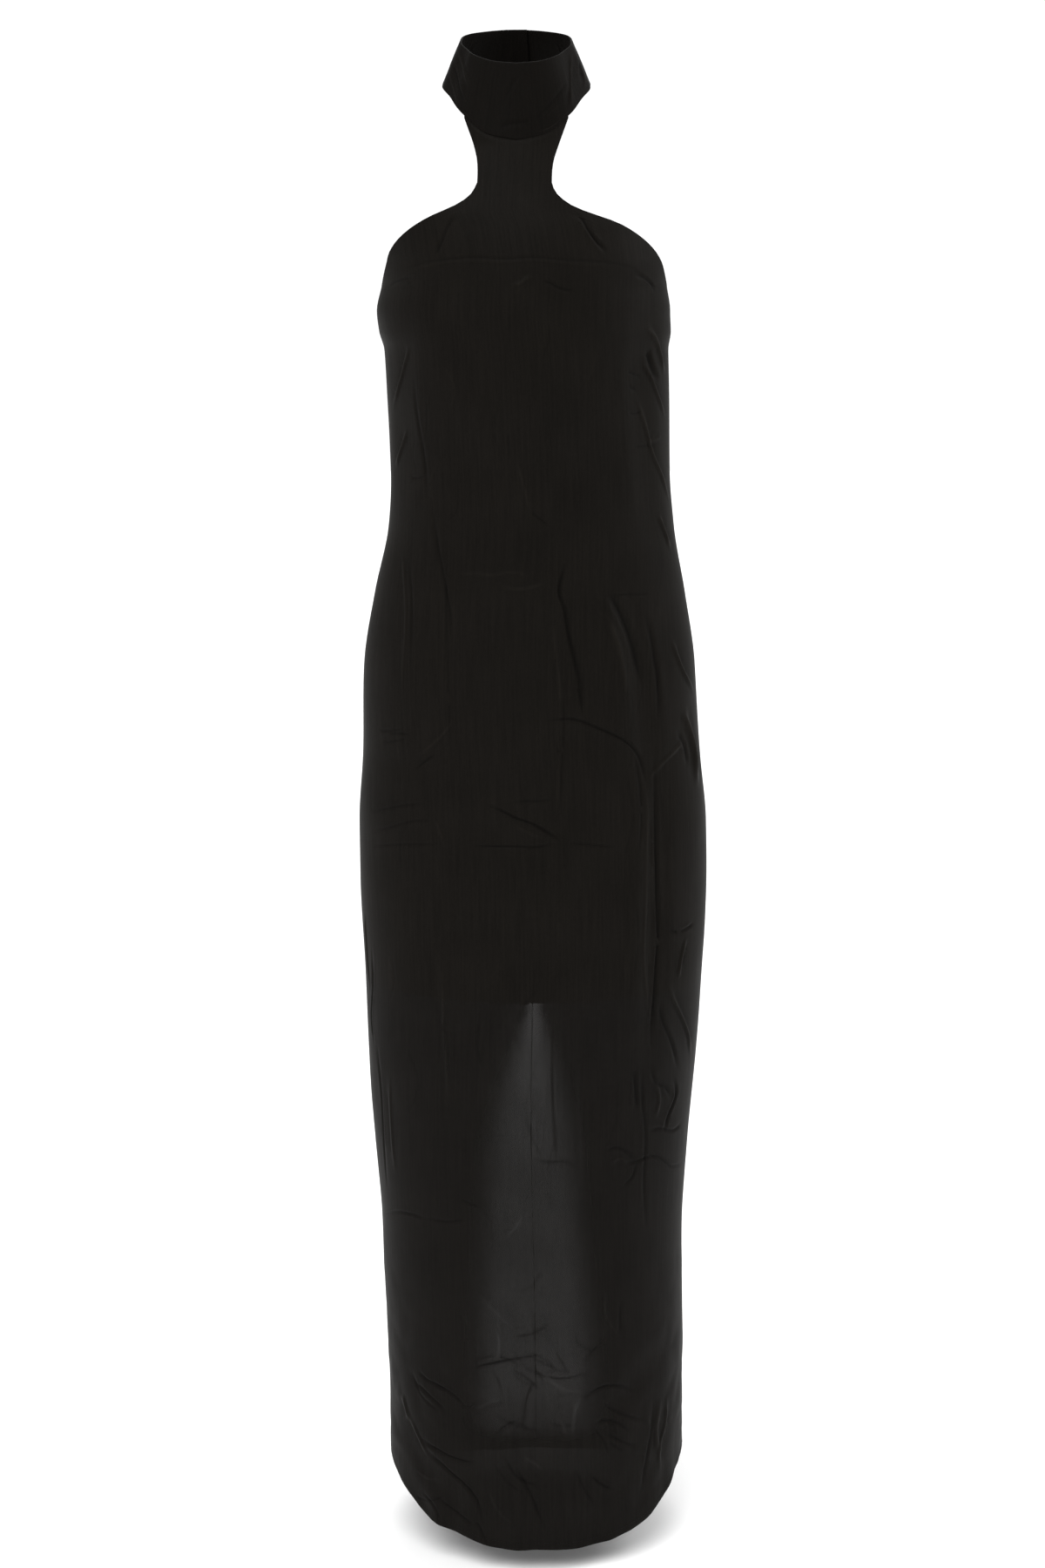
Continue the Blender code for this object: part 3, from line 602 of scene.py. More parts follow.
# %% Creases of the belly and the hips
HIP_CREASES = from_millimetres(Crease, (
    ("left hip slant", -1, 2.2, ((128, -677), (143, -660), (158, -646), (166, -640))),
    ("right long line", 0.5, 1.5, ((-68, -438), (-68, -502), (-66, -588), (-62, -676))),
    ("right belly crease", 1, 2.2, ((-81, -405), (-77, -440), (-71, -471), (-65, -503), (-64, -528))),
    ("right hip line", -0.6, 1.9, ((-113, -444), (-110, -481), (-109, -523), (-113, -592))),
    ("beside the hip line", 0.6, 1.8, ((-105, -455), (-102, -505), (-103, -556))),
    ("left seat drag", -1.5, 2.2, ((153, -535), (160, -556), (168, -575), (178, -595))),
    ("upper belly line", -0.6, 1.5, ((-62, -468), (-40, -467), (-24, -468), (-2, -465), (17, -471))),
    ("lower belly line", -0.7, 1.5, ((-18, -477), (-2, -481), (16, -479), (31, -474))),
    ("left belly line", 0.6, 1.6, ((91, -489), (110, -489), (133, -491))),
    ("fold above the thigh", 2.4, 2.4, (
        (50, -451), (45, -466), (42, -484), (47, -500), (51, -523), (57, -548), (63, -576), (64, -602))),
    ("beside that fold", -1.2, 2.4, ((36, -514), (38, -539), (42, -573), (44, -596))),
    ("hip roll hollow", 2.6, 4.5, ((88, -482), (98, -500), (109, -525), (118, -553), (124, -582))),
    ("hip roll", -1.5, 3.4, ((85, -502), (96, -530), (103, -560), (106, -588))),
    ("left of the hip roll", 1.2, 3.2, ((126, -505), (134, -540), (140, -583), (141, -618))),
    ("left hip crescent", 1.6, 1.8, (
        (25, -610), (40, -608), (59, -609), (83, -619), (105, -631), (120, -647), (127, -667),
        (130, -682))),
    ("thin hanging line", 0.7, 1.5, ((45, -562), (46, -612), (44, -663), (43, -715))),
    ("beside the hanging line", -0.6, 1.5, ((41, -586), (41, -654), (39, -706))),
    ("short thigh line", 0.9, 1.5, ((60, -574), (63, -587), (65, -604))),
    ("right hip crescent", -0.9, 1.6, ((-60, -608), (-69, -621), (-81, -634), (-97, -649))),
    ("under the crescent", 0.9, 1.6, ((-80, -645), (-90, -653), (-101, -663))),
    ("right hip tick 1", 0.8, 1.5, ((-127, -630), (-116, -628), (-104, -628))),
    ("right hip tick 2", 0.6, 1.5, ((-140, -630), (-127, -627), (-109, -623))),
    ("right hip ticks' end", 0.6, 1.5, ((-133, -640), (-119, -636), (-106, -631))),
    ("slanting crease", 1.8, 1.8, (
        (-31, -691), (-17, -697), (-1, -705), (16, -711), (33, -721), (47, -729))),
    ("beside the slant", -0.8, 1.6, ((-3, -711), (11, -719), (25, -725))),
    ("under the slant", 1.2, 1.8, ((-45, -734), (-28, -734), (-3, -734), (21, -734), (42, -729))),
    ("above the slant", 0.7, 1.5, ((-4, -690), (9, -688), (23, -688), (38, -686))),
    ("right thigh line 1", 0.6, 1.5, ((-148, -714), (-128, -705), (-110, -699), (-87, -695))),
    ("right thigh line 2", 0.6, 1.5, ((-146, -734), (-124, -723), (-102, -714), (-78, -711))),
    ("right thigh line 3", 0.5, 1.5, ((-148, -749), (-124, -741), (-99, -737), (-70, -734))),
    ("right thigh line 4", -0.5, 1.5, ((-80, -710), (-76, -720), (-70, -737))),
    ("left thigh line", 0.6, 1.5, ((49, -730), (74, -733), (99, -737))),
    ("second pleat line", 0.8, 1.8, ((116, -641), (122, -676), (123, -719), (120, -749))),
    ("left thigh highlight", -3.4, 4.5, ((165, -611), (172, -628), (178, -653), (182, -691))),
    ("under the highlight", 1.4, 3.2, ((158, -627), (167, -644), (171, -666))),
))
print("creases of the belly and the hips:", len(HIP_CREASES))

# %% Creases of the skirt below the hips
SKIRT_CREASES = from_millimetres(Crease, (
    ("side pleat", 2.4, 2.1, (
        (137, -630), (138, -678), (140, -731), (141, -784), (143, -833), (141, -864), (139, -899),
        (136, -930), (135, -954))),
    ("beside the side pleat", -1, 2.4, (
        (127, -660), (130, -703), (129, -755), (128, -808), (127, -852), (131, -889), (133, -917))),
    ("left knee tick", 1.2, 1.6, ((149, -822), (160, -831), (171, -830), (182, -825))),
    ("left knee ridge", -1.4, 1.9, ((171, -839), (166, -860), (163, -881))),
    ("left skirt ridge", -1.6, 2.2, ((152, -883), (159, -903), (168, -924), (175, -946), (178, -971))),
    ("left skirt hollow", 1.4, 2.4, ((143, -900), (148, -923), (157, -948), (164, -979))),
    ("left skirt fold 1", 1.2, 2.1, ((117, -963), (119, -986), (121, -1009))),
    ("left skirt fold 2", 1.2, 2.2, ((134, -963), (139, -981), (150, -991), (158, -1006))),
    ("left skirt fold 3", 1.4, 2.1, ((158, -982), (162, -1002), (154, -1022), (149, -1039))),
    ("left skirt fold 4", -1.2, 2.1, ((139, -981), (144, -1002), (140, -1022))),
    ("left skirt fold 5", 1.1, 1.9, ((133, -1032), (145, -1033), (159, -1040), (170, -1037))),
    ("left crumple 1", 1, 1.8, ((88, -1047), (99, -1044), (109, -1049), (121, -1062))),
    ("left crumple 2", 1, 1.8, ((104, -1062), (121, -1062), (140, -1061), (157, -1078), (172, -1085))),
    ("left crumple 3", -0.9, 1.8, ((93, -1060), (104, -1056), (113, -1065))),
    ("left crumple 4", 0.9, 1.8, ((121, -1062), (117, -1077), (107, -1086))),
    ("right skirt line", 0.9, 1.6, ((-140, -1146), (-123, -1127), (-107, -1123), (-91, -1123))),
    ("right skirt line's end", 0.6, 1.5, ((-91, -1123), (-69, -1122), (-47, -1116))),
    ("middle skirt line", 0.7, 1.5, ((-57, -1097), (-46, -1100), (-32, -1104))),
    ("middle skirt line 2", 0.6, 1.5, ((16, -1050), (32, -1054), (49, -1054), (65, -1062))),
    ("right skirt drape 1", -0.8, 2.4, ((-74, -850), (-73, -903), (-70, -956), (-65, -1019))),
    ("right skirt drape 2", 0.9, 1.6, ((-147, -851), (-146, -893), (-148, -931), (-144, -961))),
    ("right skirt drape 3", -0.9, 1.9, ((-155, -815), (-153, -860), (-150, -905))),
    ("right skirt drape 4", 0.8, 1.9, ((-142, -946), (-138, -1000), (-136, -1056), (-132, -1112))),
    ("right skirt drape 5", -0.8, 2.1, ((-129, -978), (-128, -1033), (-123, -1088))),
    ("left skirt drape", 0.9, 2.1, ((126, -956), (126, -996), (130, -1034), (129, -1089), (132, -1146))),
))
print("creases of the skirt below the hips:", len(SKIRT_CREASES))

# %% Crumples above the hem
HEM_CREASES = from_millimetres(Crease, (
    ("skirt crumple 1", 0.9, 1.6, ((-40, -1271), (-4, -1261), (28, -1255))),
    ("skirt crumple 2", 0.9, 1.6, ((2, -1267), (41, -1281), (76, -1276))),
    ("skirt crumple 3", 0.9, 1.6, ((-85, -1297), (-65, -1305), (-51, -1317))),
    ("right hem bulge", -1.4, 3.4, ((-119, -1325), (-115, -1339), (-112, -1352))),
    ("left hem bulge", -1.4, 3.6, ((148, -1322), (144, -1361), (149, -1386))),
    ("hem drag right 1", 1.2, 2.1, ((-102, -1290), (-92, -1297), (-80, -1300), (-67, -1305))),
    ("hem drag right 2", 1.2, 2.1, ((-107, -1304), (-94, -1310), (-82, -1318), (-71, -1326))),
    ("hem drag right 3", 1.4, 2.2, ((-104, -1363), (-86, -1368), (-69, -1373), (-54, -1375), (-39, -1374))),
    ("hem drag right 4", 1.6, 2.2, (
        (-95, -1374), (-79, -1383), (-64, -1393), (-50, -1403), (-39, -1418), (-33, -1442))),
    ("hem drag right 5", 1.2, 2.1, ((-82, -1420), (-70, -1430), (-56, -1436), (-40, -1444))),
    ("hem drag right 6", 1.2, 1.8, ((-42, -1437), (-36, -1446), (-29, -1462))),
    ("hem drag right 7", -1, 2.2, ((-111, -1346), (-102, -1364), (-91, -1381))),
    ("hem middle 1", 0.9, 1.8, ((-5, -1272), (7, -1278), (16, -1285), (25, -1295))),
    ("hem middle 2", 0.9, 1.8, ((-24, -1345), (-14, -1334), (-3, -1327), (7, -1330), (16, -1339))),
    ("hem middle 3", 1.2, 2.1, ((-1, -1375), (8, -1391), (18, -1413), (30, -1445))),
    ("hem middle 4", -0.8, 1.9, ((38, -1319), (47, -1331), (51, -1344))),
    ("hem middle 5", 0.8, 1.8, ((-46, -1274), (-29, -1268), (-8, -1261))),
    ("hem left 1", 1.3, 2.1, ((66, -1305), (78, -1298), (91, -1294), (106, -1297), (124, -1309))),
    ("hem left 2", 1.2, 2.1, ((77, -1334), (89, -1331), (103, -1336), (117, -1349))),
    ("hem left 3", 1.1, 2.1, ((84, -1309), (100, -1322), (115, -1332), (133, -1342))),
    ("hem left 4", 1.1, 2.1, ((89, -1343), (100, -1351), (111, -1359), (125, -1368))),
    ("hem left 5", -1.2, 2.2, ((155, -1323), (154, -1351), (148, -1376), (148, -1404))),
    ("hem left 6", 1, 2.1, ((140, -1320), (139, -1353), (133, -1388), (128, -1420))),
    ("hem left 7", 1, 1.9, ((73, -1384), (86, -1398), (101, -1407))),
))
print("crumples above the hem:", len(HEM_CREASES))

# %% [markdown]
# Between the creases that can be told apart there are many small ones. They would look too regular
# if they were spaced by hand, so a seeded draw strews them over a stretch of the cloth, each with
# its own place, lean, length and bend.

# %% Small creases in between
Strewn = namedtuple("Strewn", "name count seed x heights lean spread lengths depths")
BEND = 0.18                 # of a crease's length
STREWN_HALF_WIDTH = 0.0015
IN_OR_OUT = (-1, 1, 1)      # one in three stands up
STREWN_IN_FRONT = (
    Strewn(
        "walked crumple", 26, 5, x=(-0.10, 0.11), heights=(-1.435, -1.20), lean=-32, spread=34,
        lengths=(0.022, 0.055), depths=(0.0003, 0.0008)),
    Strewn(
        "hanging line", 24, 6, x=(-0.13, 0.14), heights=(-1.15, -0.45), lean=90, spread=6,
        lengths=(0.05, 0.14), depths=(0.00006, 0.0002)),
    Strewn(
        "bodice line", 9, 7, x=(-0.11, 0.11), heights=(-0.44, -0.22), lean=84, spread=14,
        lengths=(0.03, 0.08), depths=(0.00006, 0.0002)),
)
STREWN_BEHIND = (
    Strewn(
        "back crumple", 18, 8, x=(-0.10, 0.10), heights=(-1.435, -1.20), lean=-30, spread=34,
        lengths=(0.022, 0.055), depths=(0.0003, 0.0008)),
    Strewn(
        "back hanging line", 22, 9, x=(-0.12, 0.13), heights=(-1.15, -0.32), lean=90, spread=6,
        lengths=(0.05, 0.14), depths=(0.00006, 0.0002)),
)


def strew(stretch):
    """Small creases over a stretch of cloth, leaning by an angle in degrees, give or take its spread."""
    draw = np.random.default_rng(stretch.seed)
    creases = []
    for k in range(stretch.count):
        place = np.array((draw.uniform(*stretch.x), draw.uniform(*stretch.heights)))
        turn = math.radians(draw.normal(stretch.lean, stretch.spread))
        half = draw.uniform(*stretch.lengths) / 2
        run = np.array((math.cos(turn), math.sin(turn)))
        swerve = np.array((-run[1], run[0])) * half * draw.uniform(-BEND, BEND) * 2
        depth = draw.uniform(*stretch.depths) * IN_OR_OUT[draw.integers(len(IN_OR_OUT))]
        route = (tuple(place - half * run), tuple(place + swerve), tuple(place + half * run))
        creases.append(Crease(f"{stretch.name} {k + 1}", depth, STREWN_HALF_WIDTH, route))
    return tuple(creases)


def all_strewn(stretches):
    return tuple(crease for stretch in stretches for crease in strew(stretch))


print("small creases:", len(all_strewn(STREWN_IN_FRONT + STREWN_BEHIND)))

# %% [markdown]
# ## From a form to cloth
# A real panel is one layer of silk whose edges are turned under. A Solidify modifier would double
# every layer and leave a cut edge 1 mm thick. So each panel is a single surface, and its grid runs
# on past the edge and back again inside it. That gives a soft rounded edge, a doubled hem, and an
# edge that shows a turning from within.

# %% Turned edges
EDGE_START = 0.0008         # the cloth starts to roll this far from its edge
EDGE_INSET = 0.00045        # the edge itself lies this far in
TURNED_INSET = 0.0010       # and the turned cloth this far
ROLLED_SHARE = 0.95         # of which it has reached this much where the roll ends
HEM_TURN = 0.0095
SEAM_TURN = 0.0080
HALF_ROUND = 0.235          # a usual distance from a panel's middle to its side seam

Run = namedtuple("Run", "places insets")


def flat_run(places):
    return Run(places, np.zeros(len(places)))


def joined(*runs):
    """One run of several, end to end."""
    return Run(*(np.concatenate(parts) for parts in zip(*runs)))


def turned_end(edge, inward, turn, unit=1.0):
    """Places and insets of cloth that comes up inside a panel and rolls over its edge."""
    away = np.array((turn, turn / 2, EDGE_START, 0.0, EDGE_START))
    insets = np.array((TURNED_INSET, TURNED_INSET, ROLLED_SHARE * TURNED_INSET, EDGE_INSET, 0.0))
    return Run(edge + inward * unit * away, insets)


def turned_run(first, last, middle, first_turn, last_turn, unit=1.0):
    """A panel's grid lines from one turned edge to the other."""
    inward = math.copysign(1.0, last - first)
    start = turned_end(first, inward, first_turn, unit)
    end = turned_end(last, -inward, last_turn, unit)
    return joined(start, flat_run(middle), Run(end.places[::-1], end.insets[::-1]))


def spaced(first, last, step):
    """Places about a step apart from first to last, without the two ends."""
    return np.linspace(first, last, max(2, round(abs(last - first) / step)), endpoint=False)[1:]


def turned_columns(first, last, step):
    """A panel's columns from seam to seam, as shares of the way from its middle to its side."""
    return turned_run(first, last, spaced(first, last, step), SEAM_TURN, SEAM_TURN, 1 / HALF_ROUND)


print("turned hem:", HEM_TURN * 1000, "mm")

# %% [markdown]
# A crease is about 2 mm wide, and a grid that fine all over would be millions of faces. So a panel's
# grid is coarse, and only the cells that a crease runs through are cut into nine. The vertices that
# this puts on the edge of an uncut neighbour become corners of that neighbour too, so no crack
# opens. A Multires or Subdivision Surface modifier would refine the plain cloth as well.

# %% Grids that are finer along creases
CUTS = 3                    # a cell on a crease is cut into this many each way
Grid = namedtuple("Grid", "across level insets faces")


def plain_cell(corners, row, column):
    """Corners of a cell that isn't cut, with those that its cut neighbours have put between them."""
    r, c, n = row * CUTS, column * CUTS, CUTS
    ring = [(r, c + k) for k in range(n)] + [(r + k, c + n) for k in range(n)]
    ring += [(r + n, c + n - k) for k in range(n)] + [(r + n - k, c) for k in range(n)]
    return [corners[spot] for spot in ring if corners[spot] >= 0]


def panel_grid(columns, levels, is_creased):
    """Grid of a panel, in which is_creased says of arrays (across, level) where it has to be fine."""
    marked = is_creased(*np.meshgrid(columns.places, levels.places))
    cut = marked[:-1, :-1] | marked[:-1, 1:] | marked[1:, :-1] | marked[1:, 1:]
    rows, sides = (CUTS * (len(run.places) - 1) + 1 for run in (levels, columns))
    used = np.zeros((rows, sides), dtype=bool)
    used[::CUTS, ::CUTS] = True
    for row, column in np.argwhere(cut):
        used[row * CUTS:(row + 1) * CUTS + 1, column * CUTS:(column + 1) * CUTS + 1] = True
    corners = np.full((rows, sides), -1)
    corners[used] = np.arange(used.sum())
    faces = []
    for row, column in np.ndindex(cut.shape):
        if not cut[row, column]:
            faces.append(plain_cell(corners, row, column))
            continue
        for i, k in np.ndindex(CUTS, CUTS):
            r, c = row * CUTS + i, column * CUTS + k
            faces.append([corners[r, c], corners[r, c + 1], corners[r + 1, c + 1], corners[r + 1, c]])
    line, place = (axis / CUTS for axis in np.nonzero(used))
    column_at, level_at = np.arange(len(columns.places)), np.arange(len(levels.places))
    across = np.interp(place, column_at, columns.places)
    level = np.interp(line, level_at, levels.places)
    insets = np.interp(place, column_at, columns.insets) + np.interp(line, level_at, levels.insets)
    return Grid(across, level, insets, faces)


def no_crease(across, level):
    return np.zeros(across.shape, dtype=bool)


print("a cell on a crease is cut into", CUTS * CUTS)


# %% Making a piece of a mesh
def cloth_mesh(name, points, around, height, faces, **values):
    """Mesh through points, with a map in metres and any values for the materials."""
    mesh = bpy.data.meshes.new(name)
    mesh.from_pydata(np.stack(points, axis=-1).tolist(), [], faces)
    grain = mesh.uv_layers.new(name="cloth")
    spread = np.column_stack((around, height))
    used = np.empty(len(mesh.loops), dtype=np.int32)
    mesh.loops.foreach_get("vertex_index", used)
    grain.data.foreach_set("uv", spread[used].ravel())
    for label, value in values.items():
        layer = mesh.attributes.new(label, "FLOAT", "POINT")
        layer.data.foreach_set("value", value.astype(np.float32))
    mesh.shade_smooth()
    return mesh


def triangles(mesh):
    mesh.calc_loop_triangles()
    return len(mesh.loop_triangles)


def add_piece(mesh, body, slot, *materials):
    """Object made of a finished mesh and named as it is, riding on a body."""
    piece = bpy.data.objects.new(mesh.name, mesh)
    for material in materials:
        mesh.materials.append(material)
    scene.collection.objects.link(piece)
    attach(piece, body)
    return piece


def sunk(form, sink):
    """A form's points, pressed in by sink."""
    return form.x - form.out_x * sink, form.y - form.out_y * sink, form.z


print("bodies to ride on: dress and zip_pull")

# %% Room for the lining
LINING_EASE = 0.0080        # the lining hangs this far inside the silk
LINING_SEAT = 0.0021        # but at its top edge only this far
LINING_FALL = 0.050         # and it is reached this far down
LINING_CLEAR = 0.0011       # creases stay this far from it
LINING_BELOW = 0.010        # and so they do for this much below its hem
SKIRT_ROOM = 0.012          # how far the silk may sink below the lining
CHEST_ROOM = 0.006          # and how far above it


def lining_inset(drop):
    """How far inside the silk the lining lies, this far below its top edge."""
    return LINING_SEAT + (LINING_EASE - LINING_SEAT) * np.clip(drop / LINING_FALL, 0.0, 1.0)


def clear_of_lining(sink, height, top):
    """Sink eased off where it would bring the silk against the lining."""
    beside = lining_inset(top - height) - LINING_CLEAR
    room = np.where(height > LINING_HEM - LINING_BELOW, beside, SKIRT_ROOM)
    room = np.where(height > top, CHEST_ROOM, room)
    return np.where(sink > 0, room * np.tanh(sink / room), sink)


print("the lining's ease:", LINING_EASE * 1000, "mm")

# %% [markdown]
# ## The front
# The front panel and its halter strap are cut in one. Its grid has a line every 4 mm or so, and is
# finer only where a crease runs. The strap's end is tucked in behind the collar. Faces below the
# lining's hem get the sheer cloth, which is the same crepe with nothing behind it.

# %% Grid lines of the front
FRONT_COLUMNS = 112
LEVEL_STEP = 0.0044
STRAP_TUCK = Run(np.array((-0.0010, 0.0002, 0.0030, 0.0060)), np.array((0.0, 0.00085, 0.0010, 0.0010)))
front_levels = joined(
    turned_end(HEM, 1.0, HEM_TURN), flat_run(spaced(HEM, COLLAR_SEAM, LEVEL_STEP)),
    STRAP_TUCK._replace(places=COLLAR_SEAM + STRAP_TUCK.places))
front_columns = turned_columns(-1.0, 1.0, 2 / FRONT_COLUMNS)
print("front grid:", len(front_columns.places), "columns,", len(front_levels.places), "levels")

# %% Relief of a panel
Panel = namedtuple("Panel", "form unroll folds creases middle_fade lining_top swell_seed hem_seed")
FOLD_SHARE = 0.6            # thin silk shows less of a broad fold than the solids' thicker wall
FOLD_STEEPNESS = 3.0        # the higher, the nearer to a side seam a broad fold reaches
SIDE_FADE = 0.012           # creases fade out over this much beside a side seam
SWELL = 0.00035
CRUMPLED = 0.0009
CRUMPLED_FROM, CRUMPLED_RUN = -1.13, 0.20
RIPPLED = 0.0013
RIPPLED_FROM, RIPPLED_RUN = -1.37, 0.09


def walked_hem(form, fade, seed):
    """Ripples and crumples of the hem, which has been walked in."""
    crumpled = np.clip((CRUMPLED_FROM - form.z) / CRUMPLED_RUN, 0.0, 1.0) * fade
    rippled = np.clip((RIPPLED_FROM - form.z) / RIPPLED_RUN, 0.0, 1.0) * fade
    ripples = soft_waves(2 * form.round_the_body, form.z, seed)
    return RIPPLED * rippled * ripples - CRUMPLED * crumple(form.round_the_body, form.z, crumpled)


def panel_relief(panel, form, across):
    """Folds, creases, swells and crumples of a panel, and its creases' painted lines of shade and highlight.
    """
    fade = np.clip((1 - np.abs(across)) * HALF_ROUND / SIDE_FADE, 0.0, 1.0) * panel.middle_fade(across)
    folded = np.minimum(1.0, FOLD_STEEPNESS * np.cos(across * math.pi / 2))
    relief = FOLD_SHARE * folded * fold_sink(panel.folds, form.x, form.z)
    sink, line = draw_creases(panel.creases, form.round_the_body, form.z, panel.unroll)
    relief += fade * sink
    relief += SWELL * fade * soft_waves(form.round_the_body, form.z, panel.swell_seed)
    relief += walked_hem(form, fade, panel.hem_seed)
    return clear_of_lining(relief, form.z, panel.lining_top(across)), line


print("broad folds at", FOLD_SHARE, "of the solids' depth")

# %% How open the crepe is
OpenRow = namedtuple("OpenRow", "height share")
PaintedLitStrip = namedtuple("PaintedLitStrip", "height clear closed")
SIDE_COVER = 0.89           # how much less open the crepe is outside its middle strip: partly the slanting path through the cloth at the sides, partly painted shade
OPEN_BEND = 0.010           # the rows below climb to the sides by this much
# The openness of each row is set for brightness, as painted light and shade: it falls below the knee, where
# the floor behind lies in the dress's shadow, and near the hem, where the floor shows past the other panel's
# hem, the cloth closes.
FRONT_OPEN = (
    OpenRow(-1.350, 0.03),
    OpenRow(-1.334, 0.84),
    OpenRow(-1.270, 0.80),
    OpenRow(-1.150, 0.61),
    OpenRow(-0.930, 1.00),
)
BACK_OPEN = (
    OpenRow(-1.457, 0.10),
    OpenRow(-1.435, 0.45),
    OpenRow(-1.395, 0.76),
    OpenRow(-1.270, 0.74),
    OpenRow(-1.150, 0.59),
    OpenRow(-0.930, 1.00),
)

# Painted light: a middle strip of the skirt stays open, narrow just below the lining and wider towards the
# hem, and the cloth beside it closes as painted shade.
PAINTED_LIT_STRIP = (
    PaintedLitStrip(-1.300, 0.15, 0.37),
    PaintedLitStrip(-1.100, 0.09, 0.30),
    PaintedLitStrip(-1.038, 0.05, 0.26),
    PaintedLitStrip(-0.976, 0.01, 0.18),
    PaintedLitStrip(-0.900, 0.00, 0.04),
)


def read_row(rows, column, height):
    """A column's value at each height, straight from row to row."""
    return np.interp(height, [row.height for row in rows], [getattr(row, column) for row in rows])


def painted_see_through(across, height, rows):
    """How open the crepe is: most in a middle strip below the knee, which is painted light, and less at the
    sides and near the hem, which is painted shade.
    """
    clear, closed = read_row(PAINTED_LIT_STRIP, "clear", height), read_row(PAINTED_LIT_STRIP, "closed", height)
    at_side = np.clip((np.abs(across) - clear) / (closed - clear), 0.0, 1.0)
    down = read_row(rows, "share", height - OPEN_BEND * across * across)
    return down * (1 - SIDE_COVER * eased(at_side))


print("rows of openness:", len(FRONT_OPEN), "in front,", len(BACK_OPEN), "behind")

# %% Front panel
CREASED = 0.04              # a painted crease line fainter than this needs no finer cells
PLAIN_EDGE = 0.985          # nor does one this near a side seam


def front_top(across):
    """The lining's top edge in front."""
    return LINING_TOP - LINING_SIDE_DROP * np.abs(across) ** 3


FRONT = Panel(
    front_form, unroll_front, FRONT_FOLDS,
    CHEST_CREASES + WAIST_CREASES + HIP_CREASES + SKIRT_CREASES + HEM_CREASES + all_strewn(STREWN_IN_FRONT),
    lambda across: 1.0, front_top, swell_seed=3, hem_seed=21)


def creased(panel):
    """Test of where a crease's painted line runs on a panel."""
    def test(across, level):
        form = panel.form(across, level)
        line = draw_creases(panel.creases, form.round_the_body, form.z, panel.unroll)[1]
        return (np.abs(line) > CREASED) & (np.abs(across) < PLAIN_EDGE)

    return test


front_grid = panel_grid(front_columns, front_levels, creased(FRONT))
front_cloth = front_form(front_grid.across, front_grid.level)
relief, line = panel_relief(FRONT, front_cloth, front_grid.across)
front_mesh = cloth_mesh(
    "front_silk", sunk(front_cloth, relief + front_grid.insets), front_cloth.round_the_body, front_cloth.z,
    front_grid.faces, sheer=painted_see_through(front_grid.across, front_cloth.z, FRONT_OPEN), crease=line)
print("front:", triangles(front_mesh), "triangles")

# %% [markdown]
# ## The back
# Two panels meet at the centre back, where the zip closes them down to the seat and a plain seam
# goes on to the hem. They carry creases of the same kinds as the front.

